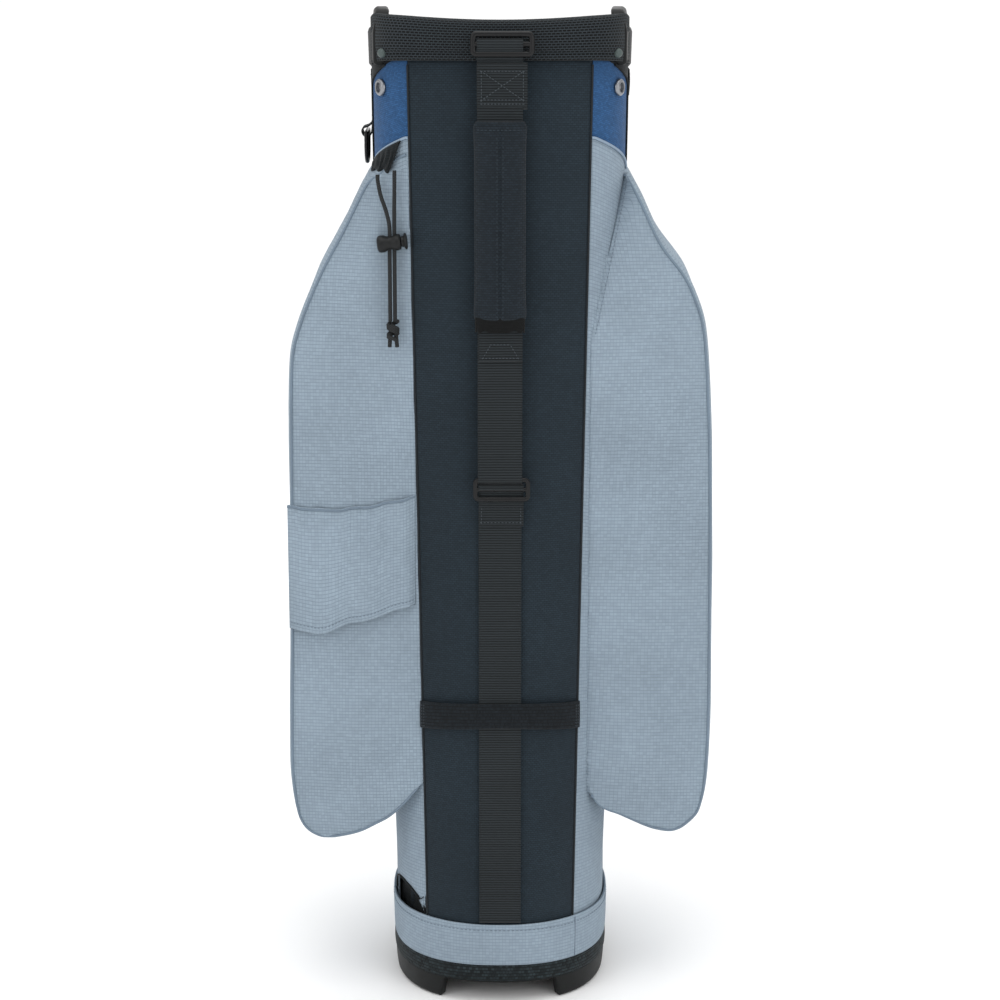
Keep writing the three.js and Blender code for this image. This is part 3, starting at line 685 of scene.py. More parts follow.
for side, (sign, start, stop) in SIDES.items():
    side_cover[side] = panel(f"side_cover_{side}", start, stop, panel_foot, corner_line,
                             grey_cloth, "grey_cloth", f"side_panel_{side}", 90, 260, 0.7)

    def blue_edge(z, sign=sign):
        """Where the blue corner gives way to the black side, rounded off at its top"""
        x = 112.2 - 22 * max(0, min(1, (z - 845) / 28)) ** 2.2
        turn = atan2(rear_y(z, x), x)
        return turn if sign > 0 else -pi - turn

    edge = [blue_edge, stop] if sign > 0 else [start, blue_edge]
    blue = [start, blue_edge] if sign > 0 else [blue_edge, stop]
    panel(f"corner_cover_{side}", *blue, above, panel_top, blue_cloth, "blue_cloth",
          f"corner_panel_{side}", 40, 60, 0.3)
    panel(f"shoulder_cover_{side}", *edge, above, panel_top, black_cloth, "black_cloth",
          f"corner_panel_{side}", 50, 60, 0.3)
    trim = [at(*wall(z, 0.4, blue_edge(z)), z) for z in spread(778, 867, 60)]
    fit(f"shoulder_trim_{side}", swept([trim], 1.0), black_cloth, slot="black_cloth")

# The opening for the umbrella's tip, low on the left rear corner: the cloth above the band
# is cut to a half-moon, and its edge is bound.
CUP_TURN, CUP_LOW, CUP_REACH, CUP_UP = -2.59, 78, 0.35, 23


def window_edge(bm):
    """Cuts the half-moon through the side panel and draws its edge to the true curve"""
    def share(v):
        angle = atan2(v.co.y - AXIS_Y, v.co.x) - CUP_TURN
        return angle / CUP_REACH, (v.co.z / MM - CUP_LOW) / CUP_UP
    inside = [f for f in bm.faces
              if all(sum(c * c for c in share(v)) < 1.12 for v in f.verts)]
    bmesh.ops.delete(bm, geom=inside, context="FACES")
    for v in bm.verts:
        a, b = share(v)
        size = (a * a + b * b) ** 0.5
        if 0.1 < size < 1.35 and v.is_boundary:
            angle, z = CUP_TURN + a / size * CUP_REACH, CUP_LOW + b / size * CUP_UP
            v.co = at(*wall(z, -0.35, angle), z)


cover = bmesh.new()
cover.from_mesh(side_cover["left"].data)
window_edge(cover)
cover.to_mesh(side_cover["left"].data)
cover.free()
window_turns = spread(0.02 * pi, 0.98 * pi, 40)
window_rim = [(CUP_TURN + CUP_REACH * cos(t), CUP_LOW + CUP_UP * sin(t)) for t in window_turns]
fit("cup_window_edge", swept([[at(*wall(z, 0.2, angle), z) for angle, z in window_rim]], 0.9),
    black_cloth, slot="black_cloth")

# Piping between the blue corners and the grey sides, and the dark seams of the spine.
pale_piping = moulded("pale_piping", tint(122, 138, 154), 0.7, grain=1600, depth=0.0002)
dark_piping = moulded("dark_piping", tint(20, 25, 29), 0.7, grain=1600, depth=0.0002)
for side, (sign, start, stop) in SIDES.items():
    angles = spread(start(CORNER_Z), stop(CORNER_Z), 90)
    fit(f"corner_piping_{side}", swept([on_wall(angles, corner_line, 0.5)], 1.2), pale_piping,
        slot="grey_cloth")
    turn = (lambda z: spine_angle(z)) if sign > 0 else (lambda z: -pi - spine_angle(z))
    fit(f"spine_seam_{side}", swept([[at(*wall(z, 0.1, turn(z)), z)
                                      for z in spread(77, 868, 120)]], 0.9), dark_piping,
        slot="black_cloth")
    angle = FRONT_EDGE if sign > 0 else pi - FRONT_EDGE
    fit(f"front_seam_{side}", swept([[at(*wall(z, 0.1, angle), z)
                                      for z in spread(77, 850, 100)]], 1.0), dark_piping,
        slot="black_cloth")

# The umbrella's foot cup: a black mesh-lined cup behind the window.
cup_x, cup_y = wall(80, -19, -2.31)
cup_lining = woven("cup_lining", tint(40, 45, 48), tint(10, 12, 13), (2.4, 2.4), 0.5,
                   speckle=0.5, relief=0.0005)


def foot_cup(u, v):
    """Up the cup's outside, over its rim and down its inside"""
    angle = u * 2 * pi
    if v < 0.5:
        radius, z = 10 + 2.3 * v / 0.5, 27 + 73 * v / 0.5
    elif v < 0.6:
        radius, z = 12.4 - 1.4 * (v - 0.5) / 0.1, 100 + 0.6 * sin((v - 0.5) * 10 * pi)
    else:
        t = (v - 0.6) / 0.4
        radius, z = 11 - 3 * t, 100 - 71.5 * t
    return cup_x + radius * cos(angle), cup_y + radius * sin(angle), z


def capped(bm, heights, reach):
    """Closes a tube's open ends, whose edges lie within reach of the given heights"""
    for height in heights:
        rim = [e for e in bm.edges if e.is_boundary
               and all(abs(v.co.z / MM - height) < reach for v in e.verts)]
        bmesh.ops.contextual_create(bm, geom=rim)
    bmesh.ops.recalc_face_normals(bm, faces=bm.faces)
    return bm


cup_bm = capped(mapped(40, 40, foot_cup, wrap=True, outwards=False), (27, 28.5), 0.4)
fit("umbrella_foot", cup_bm, cup_lining, slot="spacer_mesh", stands_for=["umbrella_cup"])


def pouch(u, v):
    """The dark lining seen through the window, between the window and the cup"""
    angle = CUP_TURN + (CUP_REACH + 0.09) * (2 * u - 1)
    z = 62 + 46 * v
    deep = 3 + 8 * sin(pi * u) * sin(pi * min(1, v * 1.1))
    x, y = wall(z, -deep, angle)
    return x, y, z


fit("window_lining", mapped(24, 24, pouch), black_cloth, slot="black_cloth")

# The stiff rods inside the sides, drawn aluminium.
rod_metal = moulded("rod_metal", tint(205, 208, 211), 0.3, grain=300, wear=1.0, metallic=1)
for node in ("stay_rod_left", "stay_rod_right"):
    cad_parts[node].data.materials.clear()
    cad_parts[node].data.materials.append(rod_metal)

# ---------------------------------------------------------------- collar and dividers
# One satin black moulding: the collar that the body is sewn to, a raised grip with a finger
# slot on each side, and a grid of bars that makes the 14 club wells.
collar_plastic = moulded("collar_plastic", tint(11, 13, 14), 0.48, wear=1.6, shine=0.18)
fit("collar_rim", ring([
    (873, -9), (873, 1), (873.8, 1.8), (888, 1.9), (901, 1.9), (903.6, 1), (904.8, -0.6),
    (905, -2.5), (904.8, -5), (903.4, -7.6), (901, -9), (887, -9)], 240, SLOPE),
    collar_plastic, slot="moulding", stands_for=["collar_ring"])


def prism(outline, low, high, axis="X"):
    """A closed solid: an outline of (a, b) points in millimetres, from low to high"""
    bm = bmesh.new()
    place = {"X": lambda a, b: at(low, a, b), "Y": lambda a, b: at(a, low, b),
             "Z": lambda a, b: at(a, b, low)}[axis]
    verts = [bm.verts.new(place(a, b)) for a, b in outline]
    face = bm.faces.new(verts)
    made = bmesh.ops.extrude_face_region(bm, geom=[face])
    step = (at(*[(high - low) * (axis == name) for name in "XYZ"]) - at(0, 0, 0))
    bmesh.ops.translate(bm, vec=step, verts=[v for v in made["geom"]
                                             if isinstance(v, bmesh.types.BMVert)])
    bmesh.ops.recalc_face_normals(bm, faces=bm.faces)
    return bm


def settle(obj):
    """Takes a piece's modifiers into its mesh"""
    mesh = solved(obj)
    obj.modifiers.clear()
    obj.data = mesh
    return obj


def carved(name, bm, cutters, **finish):
    """A solid with holes cut through it"""
    blank = fit(name, bm, **finish)
    for cutter in cutters:
        tool = fit(name + "_hole", cutter, finish["material"], body=None)
        hole = blank.modifiers.new("hole", "BOOLEAN")
        hole.object = tool
        hole.solver = "EXACT"
        settle(blank)
        bpy.data.objects.remove(tool)
    return blank


def arc(centre, radius, start, stop, count=8):
    """Points of (a, b) along an arc between two angles"""
    return [(centre[0] + radius * cos(t), centre[1] + radius * sin(t))
            for t in spread(start, stop, count)]


grip_arch = [(-92, 866.5), (-92, 895)] + arc((-76, 897), 16, pi, pi / 2 + 0.1, 6) + [
    (-62, 914), (-48, 912.6), (-34, 911), (-15, 908.2), (0, 903), (9, 897), (15, 890), (17, 866.5)]
slot_arch = (arc((-70, 882.7), 8.7, pi / 2, pi * 1.5)
             + arc((-10, 882.7), 8.7, -pi / 2, pi / 2))
for side, low, high in (("left", -116.5, -104.5), ("right", 104.5, 116.5)):
    grip = carved(f"collar_grip_{side}", prism(grip_arch, low, high),
                  [prism(slot_arch, low - 5, high + 5)], material=collar_plastic,
                  slot="moulding", body="root")
    # The grips lean inwards, most at their tops and their rear ends.
    for v in grip.data.vertices:
        y = (v.co.y - AXIS_Y) / MM
        sign = 1 if v.co.x > 0 else -1
        lean = max(0, (v.co.z / MM - 894) / 20) ** 1.5
        v.co.x -= sign * (1.2 + 5.2 * max(0, (-y - 40) / 52) ** 1.5 + 4.5 * lean) * MM
        v.co.z += 1.4 * MM * max(0, min(1, (v.co.z / MM - 900) / 10))
    edged(grip, 3.4, 4)

# The bars of the grid have their top edges rounded, so that clubs slide in.
GRID_LOW, GRID_HIGH, GRID_MID, BAR_HALF, GRID_INSET = 878, 901, 890, 3, 8.6
CROSS_Y = 50


def inside_half(along):
    """How far a bar reaches from the middle at a distance along the other axis"""
    n = squareness(GRID_MID)
    share = abs(along / (half_depth(GRID_MID) - GRID_INSET))
    return (half_width(GRID_MID) - GRID_INSET) * max(0, 1 - share ** n) ** (1 / n)


bars = bmesh.new()


def add_bar(x0, x1, y0, y1):
    """One bar of the grid between two corners"""
    size = Matrix.Diagonal(((x1 - x0) * MM, (y1 - y0) * MM, (GRID_HIGH - GRID_LOW) * MM, 1))
    middle = at((x0 + x1) / 2, (y0 + y1) / 2, (GRID_LOW + GRID_HIGH) / 2)
    bmesh.ops.create_cube(bars, size=1, matrix=Matrix.Translation(middle) @ size)


for y in (-CROSS_Y, 0, CROSS_Y):
    add_bar(-inside_half(y), inside_half(y), y - BAR_HALF, y + BAR_HALF)
END_BAR_X, MID_BAR_X = 36, 55
end_reach = abs(rear_y(GRID_MID, END_BAR_X)) - GRID_INSET
for x in (-END_BAR_X, END_BAR_X):
    add_bar(x - BAR_HALF, x + BAR_HALF, -end_reach, -CROSS_Y)
    add_bar(x - BAR_HALF, x + BAR_HALF, CROSS_Y, end_reach)
for x in (-MID_BAR_X, 0, MID_BAR_X):
    add_bar(x - BAR_HALF, x + BAR_HALF, -CROSS_Y, CROSS_Y)
for v in bars.verts:
    v.co.z -= SLOPE * (v.co.y - AXIS_Y + REAR_Y * MM)
divider_bars = fit("divider_bars", bars, collar_plastic, slot="moulding",
                   stands_for=["divider_grid"])
edged(divider_bars, 2.2, 3)

# Three full-length divider sheets, hemmed over the long bars, hang inside the tube.
sheet_cloth = woven("sheet_cloth", tint(44, 52, 58), tint(24, 29, 32), (1.8, 1.8), 0.0)
SHEET_FOOT = 27
for i, y in enumerate((-CROSS_Y, 0, CROSS_Y)):
    low_y = abs(y) + 2
    foot = (99 - 8) * (1 - (low_y / (112 - 8)) ** 2.4) ** (1 / 2.4)
    head = inside_half(low_y) - 2.5
    top = GRID_LOW - 0.6 - SLOPE * (y + REAR_Y + 1)

    def hung(u, v):
        z = SHEET_FOOT + (top - SHEET_FOOT) * v
        half = foot + (head - foot) * v
        x = (2 * u - 1) * half
        return x, y + 0.9 * sin(pi * v) * sin(u * 9 + i) * sin(pi * u), z
    cloth = fit(f"divider_cloth_{i + 1}", mapped(24, 80, hung, outwards=False), sheet_cloth,
                slot="black_cloth", stands_for=[f"divider_sheet_{i + 1}"])
    thick(cloth, 0.9, 0)


def stuffed(obj, voxel, cap, pressure):
    """Swells a closed padded piece with a cloth simulation, moving no point past the cap"""
    remesh = obj.modifiers.new("remesh", "REMESH")
    remesh.mode = "VOXEL"
    remesh.voxel_size = voxel * MM
    settle(obj)
    before = [v.co.copy() for v in obj.data.vertices]
    first, last = 1, 20
    scene.frame_start, scene.frame_end = first, last
    swell = obj.modifiers.new("swell", "CLOTH")
    swell.settings.use_pressure = True
    swell.settings.uniform_pressure_force = pressure
    swell.settings.effector_weights.gravity = 0
    swell.settings.quality = 5
    swell.point_cache.frame_start, swell.point_cache.frame_end = first, last
    for step in range(first, last + 1):
        scene.frame_set(step)
    settle(obj)
    scene.frame_set(first)
    for v, old in zip(obj.data.vertices, before):
        move = v.co - old
        if move.length > cap * MM:
            v.co = old + move.normalized() * cap * MM
    finer = obj.modifiers.new("finer", "SUBSURF")
    finer.levels = finer.render_levels = 1
    settle(obj)
    obj.data.shade_smooth()
    return obj


def on_object(name, colour, gap, pitch, relief=0.0004, holes=0.55, speckle=0.2, roughness=0.9):
    """Knitted or woven cloth for padded pieces, laid out on two of their own axes (X and Z)"""
    material, tree, shader, place = blank_finish(name)
    flat = wire(tree, "Mapping", {"Vector": place, "Rotation": (radians(-90), 0, 0),
                                  "Scale": (500 / pitch[0], 1, 250 / pitch[1])})
    deep = [c * (1 - speckle) for c in colour[:3]] + [1]
    pale = [c * (1 + speckle) for c in colour[:3]] + [1]
    brick = wire(tree, "TexBrick", {
        "Vector": flat.outputs["Vector"], "Color1": deep, "Color2": pale, "Mortar": gap,
        "Scale": 1, "Mortar Size": holes * 0.125, "Mortar Smooth": 1,
        "Brick Width": 0.5, "Row Height": 0.25}, offset=0.5)
    cloth_shader(tree, shader, brick.outputs["Color"], brick, place, 1300, 0.3, relief, 0.8, {
        "Roughness": roughness, "Specular IOR Level": 0.2, "Sheen Weight": 0.06})
    return material


# The hip pad: foam in black spacer mesh, sewn over the collar's rear, with a plain hem.
spacer_mesh = woven("spacer_mesh", tint(3, 4, 5), tint(50, 58, 63), (3.8, 2.2), 0.5,
                    mortar=0.085, speckle=0.5, relief=0.0012, drift=0.0002)


def hip_pad(u, v):
    """Over the pad's back from its lower edge to its top, then down its inner face"""
    t = 2 * u - 1
    angle = -pi / 2 + 1.0 * t
    corner = max(0, min(1, (abs(t) - 0.6) / 0.38))
    full = (1 - corner * corner * (3 - 2 * corner)) * 0.86 + 0.14
    full *= (1 - abs(t) ** 24) ** 0.5
    low = 871.5 + 1.5 * t * t
    high = 905.5 + 11 * abs(t) ** 2.2 - 5 * max(0, (abs(t) - 0.88) / 0.12) ** 2
    if v < 0.8:
        s = v / 0.8
        swell = sin(pi * min(1, 0.08 + s * 0.92)) ** 0.45
        z = low + (high - low) * s
        grow = 2.2 + 7.0 * full * swell
        grow -= 1.2 * full * exp(-((z - low - 6.5) / 1.6) ** 2)
    else:
        s = (v - 0.8) / 0.2
        z = high + 1.2 * sin(pi * s) * full
        grow = 2.4 - 6 * s
    x, y = wall(880, grow, angle)
    return x, y, z - SLOPE * (y + REAR_Y)


hip_cover = fit("hip_pad", mapped(160, 46, hip_pad), spacer_mesh, slot="spacer_mesh",
                stands_for=["collar_pad"])
thick(hip_cover, 1.6)

# Domed rivets hold the collar's trim, and sockets of metal snaps take the rain hood.
snap_metal = moulded("snap_metal", tint(142, 144, 148), 0.3, depth=0.00002, wear=1.0, metallic=1)
rivet_plastic = moulded("rivet_plastic", tint(62, 72, 71), 0.35)
for side, sign in (("left", -1), ("right", 1)):
    for name, turn, z, grow, profile, material, slot, node in (
            ("snap", 0.868, 847, 0, [
                (0, 0.6), (7.5, 0.6), (7.5, 1.6), (7.2, 2.4), (6.6, 3.1), (5.8, 3.5), (4.9, 3.6),
                (4.4, 3.3), (4.2, 2.2), (4.0, 0.9), (2.0, 0.8), (1.4, 1.6), (0, 1.8)],
             snap_metal, "snap_metal", "hood_snap"),
            ("rivet", 0.78, 877.5, 5.4, [
                (0, -2), (4, -2), (4.1, 1.2), (3.8, 2.2), (3.1, 3.2), (2, 3.9), (0, 4.2)],
             rivet_plastic, "hardware", "collar_rivet")):
        angle = -pi / 2 + sign * turn
        here, ahead = wall(z, grow, angle), wall(z, grow, angle + 0.01)
        out = Vector((ahead[1] - here[1], here[0] - ahead[0], 0))
        fit(f"{name}_{side}", set_at(spun(profile, 32), at(*here, z), out), material,
            slot=slot, stands_for=[f"{node}_{side}"])

# ---------------------------------------------------------------- strap
# Nylon webbing runs from a tri-glide at the collar, through a padded sleeve, to a second
# tri-glide half way down, and on down the spine, where it is sewn flat.
glide_plastic = moulded("glide_plastic", tint(9, 10, 12), 0.3, wear=1.3, coat=0.1, shine=0.22)
webbing = woven("webbing", tint(40, 45, 48), tint(9, 11, 12), (4000, 2.35), 0.0, speckle=0.06,
                mortar=0.07, relief=0.0008, drift=0.00015, mottle_and_highlight=0.1)
STRAP_BULGE = 9


def triglide(name, x, y, z, width, height, bar, node):
    """A rounded frame of round bars with a bar across its middle"""
    w, h, r = width / 2 - bar, height / 2 - bar, 3.2
    loop = []
    for cx, cz, start in ((w - r, h - r, 0), (r - w, h - r, pi / 2), (r - w, r - h, pi),
                          (w - r, r - h, pi * 1.5)):
        loop += [at(x + a, y, z + b) for a, b in arc((cx, cz), r, start, start + pi / 2, 6)]
    bm = bmesh.new()
    bm.from_mesh(swept([loop], bar, closed=True, sides=5))
    bm.from_mesh(swept([[at(x - w, y, z), at(x + w, y, z)]], bar * 0.9, sides=5))
    flat_to = Matrix.Translation((0, y * MM + AXIS_Y, 0)) @ Matrix.Diagonal((1, 0.8, 1, 1))
    bmesh.ops.transform(bm, verts=bm.verts, matrix=flat_to @ Matrix.Translation(
        (0, -y * MM - AXIS_Y, 0)))
    return fit(name, bm, glide_plastic, slot="hardware", stands_for=[node])


triglide("glide_upper", 2, -134, 887, 55, 22, 2.5, "strap_triglide_upper")
triglide("glide_lower", 1.5, -124.5, 495.5, 51, 22, 2.2, "strap_triglide_lower")


def spine_y(z, off):
    """How far back a piece is that stands off the middle of the spine"""
    return -half_depth(z) - off


def ribbon(path, width, across=14, middle=0.0):
    """A flat strip of a width along a path of (y, z) points, crosswise to X"""
    count = len(path) - 1

    def place(u, v):
        y, z = path[round(v * count)]
        return middle + (u - 0.5) * width, y, z
    return mapped(across, count, place, outwards=False)


def profile_path(points, steps=6):
    """A smooth path of pairs, for a ribbon seen from its side"""
    return [(p.x, p.y) for p in smooth_path([Vector((y, z, 0)) for y, z in points], steps)]


def faces_back(bm):
    """Turns a strip so that its face looks towards -Y at its middle"""
    if sum(f.normal.y * f.calc_area() for f in bm.faces) > 0:
        bmesh.ops.reverse_faces(bm, faces=bm.faces)
    return bm


# Sewn flat down the spine, with a folded and stitched end under the lower tri-glide.
flat_path = [(spine_y(z, 2.3), z) for z in spread(80, 476, 130)]
thick(fit("spine_strip", faces_back(ribbon(flat_path, 38.5)), webbing, slot="webbing",
          stands_for=["spine_webbing"]), 1.8)
end_path = profile_path([(spine_y(461, 2.6), 460.2), (spine_y(461, 4.3), 461.6),
                         (spine_y(470, 4.4), 470), (spine_y(480, 5.4), 480),
                         (spine_y(488, 7.2), 487), (-123.2, 492.5), (-126.2, 495.5),
                         (-125.8, 498.6), (-122, 500.2), (spine_y(500, 5.2), 498)])
thick(fit("lower_fold", faces_back(ribbon(end_path, 40, middle=1)), webbing, slot="webbing",
          stands_for=["strap_end_lower"]), 1.7)
fold_lines = [[at(x, spine_y(z, 4.8), z) for x in spread(-17, 19, 30)] for z in (464, 478)]
fold_lines += [[at(x, spine_y(z, 4.8), z) for z in spread(464, 478, 10)] for x in (-16.5, 18.5)]
stitched("lower_stitches", fold_lines, black_thread, slot="webbing", pitch=3.2, length=2.2)

# The strap's free part stands a little off the spine between its ends, which stay on the
# tri-glides.
low_path = profile_path([(-122.2, 499.5), (-125.4, 502.3), (-127.6, 505.2), (-126.6, 508.4),
                         (spine_y(514, 10.6), 514), (spine_y(530, STRAP_BULGE + 1), 530)])
upper_path = profile_path([(spine_y(820, STRAP_BULGE + 1), 820), (spine_y(842, 10.6), 842),
                           (spine_y(860, 12.6), 860), (spine_y(872, 15), 872), (-136.2, 884),
                           (-137.4, 887.5), (-135.6, 891), (-131.5, 891.6), (-130, 888)])
SPLIT_Z = 740
halves = {
    "lower": low_path + [(spine_y(z, STRAP_BULGE + 1), z) for z in spread(532, SPLIT_Z, 80)],
    "upper": [(spine_y(z, STRAP_BULGE + 1), z) for z in spread(SPLIT_Z, 818, 40)] + upper_path,
}
strap_half = {}
for end, path in halves.items():
    strap_half[end] = thick(fit(f"strap_{end}", faces_back(ribbon(path, 39.5, 16)), webbing,
                                body=None, slot="webbing"), 1.9)
    settle(strap_half[end])
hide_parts("strap_webbing")
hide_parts("strap_end_upper")
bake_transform(strap_half["lower"])

# Doubled and sewn under the upper tri-glide, with a box of stitches crossed by an X.
tab_path = profile_path([(spine_y(831, 9.6), 831), (spine_y(842, 12.6), 842),
                         (spine_y(860, 14.6), 860), (spine_y(871, 16.6), 871)])
upper_tab = fit("upper_tab", faces_back(ribbon(tab_path, 43.5, middle=1.8)), webbing,
                body=None, slot="webbing")
thick(upper_tab, 1.8)
settle(upper_tab)


def on_tab(x, z):
    """A point on the doubled tab's face"""
    return at(x, spine_y(z, 13.4 + 3.3 * max(0, (z - 842)) / 29) - 0.3, z)


box_rows = [[on_tab(x, z) for x in spread(-16, 20, 30)] for z in (836, 839.5, 864)]
box_rows += [[on_tab(x, z) for z in spread(839, 864, 14)] for x in (-16, 20)]
box_rows += [[on_tab(-16 + 36 * t, (839 + 25 * t) if up else (864 - 25 * t))
              for t in spread(0, 1, 20)] for up in (True, False)]
tab_stitches = stitched("upper_stitches", box_rows, black_thread, body=None, slot="webbing",
                        pitch=3.0, length=2.2, radius=0.4)

# A stitched, tapered tab end lies on the strap under the pad's mouth.
tip_path = [(spine_y(z, STRAP_BULGE + 2.6), z) for z in spread(611, 650, 20)]
thick(fit("lower_tab", faces_back(ribbon(tip_path, 38.5, middle=0.5)), webbing,
          body="strap", slot="webbing"), 1.6)


def on_tip(x, z):
    """A point on the tapered tab's face"""
    return at(x, spine_y(z, STRAP_BULGE + 3.1), z)


tip_rows = [[on_tip(x, 614.5) for x in spread(-15, 16, 24)],
            [on_tip(-15 + 7 * t, 614.5 + 12 * t) for t in spread(0, 1, 8)],
            [on_tip(16 - 7 * t, 614.5 + 12 * t) for t in spread(0, 1, 8)],
            [on_tip(x, 626.5) for x in spread(-8, 9, 12)]]
stitched("lower_tab_stitches", tip_rows, black_thread, "strap", "webbing", 3.0, 2.1)

for piece in (strap_half["upper"], upper_tab, tab_stitches):
    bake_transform(piece)

# The pad: a foam sleeve in dark cloth round the webbing, hemmed at its top, seamed down its
# middle, and open at its foot, where a ragged lining hangs in near-black as painted shade.
PAD_FOOT, PAD_TOP = 645, 822
pad_cloth = on_object("pad_cloth", tint(31, 39, 46), tint(19, 25, 30), (3.2, 2.1))


def pad_tube(u, v):
    """A closed, flattened sleeve whose ends turn in"""
    angle = u * 2 * pi
    z = PAD_FOOT + (PAD_TOP - PAD_FOOT) * v
    end = min(1, v / 0.05, (1 - v) / 0.045)
    full = max(0.02, 1 - (1 - end) ** 2.4) ** 0.5
    half, thick_half = 23.6 * (0.94 + 0.06 * full), 7.4 * full
    x = half * abs(cos(angle)) ** 0.66 * (1 if cos(angle) > 0 else -1)
    y = thick_half * abs(sin(angle)) ** 0.95 * (1 if sin(angle) > 0 else -1)
    return x, spine_y(z, STRAP_BULGE + 1.4) + y, z


pad_bm = capped(mapped(72, 60, pad_tube, wrap=True, outwards=False), (PAD_FOOT, PAD_TOP), 0.6)
pad = fit("strap_sleeve", pad_bm, pad_cloth, "strap_pad", "black_cloth", ["strap_pad"])
stuffed(pad, 2.6, 1.2, 3)
pad.data.materials.clear()
pad.data.materials.append(pad_cloth)
for v in pad.data.vertices:
    x, y, z = v.co.x / MM, (v.co.y - AXIS_Y) / MM, v.co.z / MM
    face = max(0, min(1, (spine_y(z, STRAP_BULGE + 1.4) - y) / 4))
    groove = 1.5 * exp(-(x / 1.5) ** 2) * (1 if 648 < z < 816 else 0)
    groove += 1.3 * exp(-((z - 817) / 1.3) ** 2)
    puff = 0.5 * noise.noise(Vector((x / 14, z / 22, 3))) - 0.7 * exp(-((z - 812) / 5) ** 2)
    v.co.y += (groove - puff) * face * MM
bpy.context.view_layer.update()


def on_pad(x, z):
    """The point of the pad's face behind a spot of the spine"""
    return pad.ray_cast(at(x, -160, z), (0, 1, 0))[1] - Vector((0, 0.25 * MM, 0))


pad_rows = [[on_pad(x, 814) for x in spread(-19, 19, 30)]]
pad_rows += [[on_pad(x, z) for z in spread(652, 810, 100)] for x in (-2.6, 2.6)]
stitched("pad_stitches", pad_rows, moulded("pad_thread", tint(42, 51, 58), 0.85), "strap_pad",
         "black_cloth", 3.6, 2.4, 0.34)


def mouth(u, v):
    """The lining's scalloped edge, hanging a little below the sleeve; its near-black is painted
    shade
    """
    angle = u * 2 * pi
    ragged = 1.5 * noise.noise(Vector((cos(angle) * 2, sin(angle), 7)))
    foot = 639.5 - 2.2 * abs(sin(angle * 5)) - ragged
    z = 652 + (foot - 652) * v
    x = (21.8 - 0.4 * v) * abs(cos(angle)) ** 0.4 * (1 if cos(angle) > 0 else -1)
    y = (5.3 - 0.7 * v) * abs(sin(angle)) ** 0.7 * (1 if sin(angle) > 0 else -1)
    return x, spine_y(z, STRAP_BULGE + 1.6) + y, z


# Near-black cloth for the lining: painted shade in the sleeve's open mouth.
mouth_shade_cloth = woven("mouth_shade_cloth", tint(10, 12, 13), tint(4, 5, 5), (2.2, 2.2), 0.5)
thick(fit("sleeve_mouth", mapped(110, 10, mouth, wrap=True, outwards=False), mouth_shade_cloth,
          "strap_pad", "black_cloth"), 0.6, 0)

# ---------------------------------------------------------------- cart elastic
# A wide woven elastic band across the spine, sewn down at both ends, slack in the middle.
elastic_web = woven("elastic_web", tint(21, 27, 32), tint(9, 12, 14), (1.3, 3.0), 0.5,
                    speckle=0.35, relief=0.0005)
ELASTIC_Z, ELASTIC_HALF = 277, 72
ELASTIC_TURN = pi / 2 + atan2(rear_y(ELASTIC_Z, ELASTIC_HALF), ELASTIC_HALF)


def elastic(u, v):
    """The band's face, a little slack and higher at its middle"""
    t = 2 * u - 1
    angle = -pi / 2 + ELASTIC_TURN * t
    z = 264 + 25.5 * v + (4.2 + 2.0 * (1 - v)) * (1 - t * t)
    off = 3.9 + 0.9 * (1 - t ** 6) - 1.8 * t ** 8
    x, y = wall(ELASTIC_Z, off + 0.25 * sin(pi * v), angle)
    return x, y, z


thick(fit("elastic_band", mapped(90, 16, elastic), elastic_web, slot="webbing",
          stands_for=["cart_elastic"]), 1.4)
elastic_rows = []
for t in (-0.965, -0.93, 0.93, 0.965):
    elastic_rows.append([])
    for v in spread(0.08, 0.92, 12):
        x, y, z = elastic((t + 1) / 2, v)
        elastic_rows[-1].append(at(x, y - 0.3, z))
stitched("elastic_stitches", elastic_rows, black_thread, slot="webbing", pitch=2.8, length=2.0)

# ---------------------------------------------------------------- towel ring and side tabs
# Short webbing tabs are sewn to each side under the collar. The left one holds a moulded
# D ring for a towel, which swings in the tab's loop.
RING_X, RING_Y, RING_Z = -120.5, 2, 801


def side_ribbon(path, width, middle):
    """A flat strip of a width along a path of (x, z) points, crosswise to Y"""
    count = len(path) - 1

    def place(u, v):
        x, z = path[round(v * count)]
        return x, middle + (u - 0.5) * width, z
    return mapped(10, count, place)


tab_path = [(-half_width(z) - 1.1, z) for z in spread(857, 812, 20)]
tab_path += profile_path([(-116.6, 808), (-119.5, 805.9), (-123.6, 804.4), (-124.9, 801.2),
                          (-123.4, 797.9), (-120.4, 796.7), (-117.4, 798.2), (-116, 801.5),
                          (-115.4, 806), (-115.2, 812)], 5)
thick(fit("towel_loop", side_ribbon(tab_path, 20, RING_Y), webbing, slot="webbing",
          stands_for=["towel_ring_tab"]), 1.4, 0)
side_path = [(half_width(z) + 1.4 + 0.5 * sin((z - 834) / 7), z) for z in spread(834, 857, 16)]
thick(fit("side_loop", side_ribbon(side_path, 25, 0.5), webbing, slot="webbing",
          stands_for=["side_tab"]), 1.5, 0)
d_path = ([(20, 0), (-20, 0)] + arc((-5, -12), 15, pi, pi * 1.5, 8)
          + arc((5, -12), 15, pi * 1.5, pi * 2, 8))
fit("d_ring", swept([[at(RING_X, RING_Y + a, RING_Z + b) for a, b in d_path]], 1.9,
                    closed=True, sides=5), glide_plastic, "towel_ring", "hardware",
    ["towel_ring"])
loop_rows = [[at(-half_width(z) - 2.0, RING_Y + y, z) for y in spread(-8, 8, 12)]
             for z in (816, 852)]
loop_rows += [[at(half_width(z) + 2.3, y, z) for y in spread(-10, 11, 14)] for z in (838, 853)]
stitched("tab_stitches", loop_rows, black_thread, slot="webbing", pitch=3, length=2.1)

# The channel: a folded black strip under the left piping, which the cord comes out of.


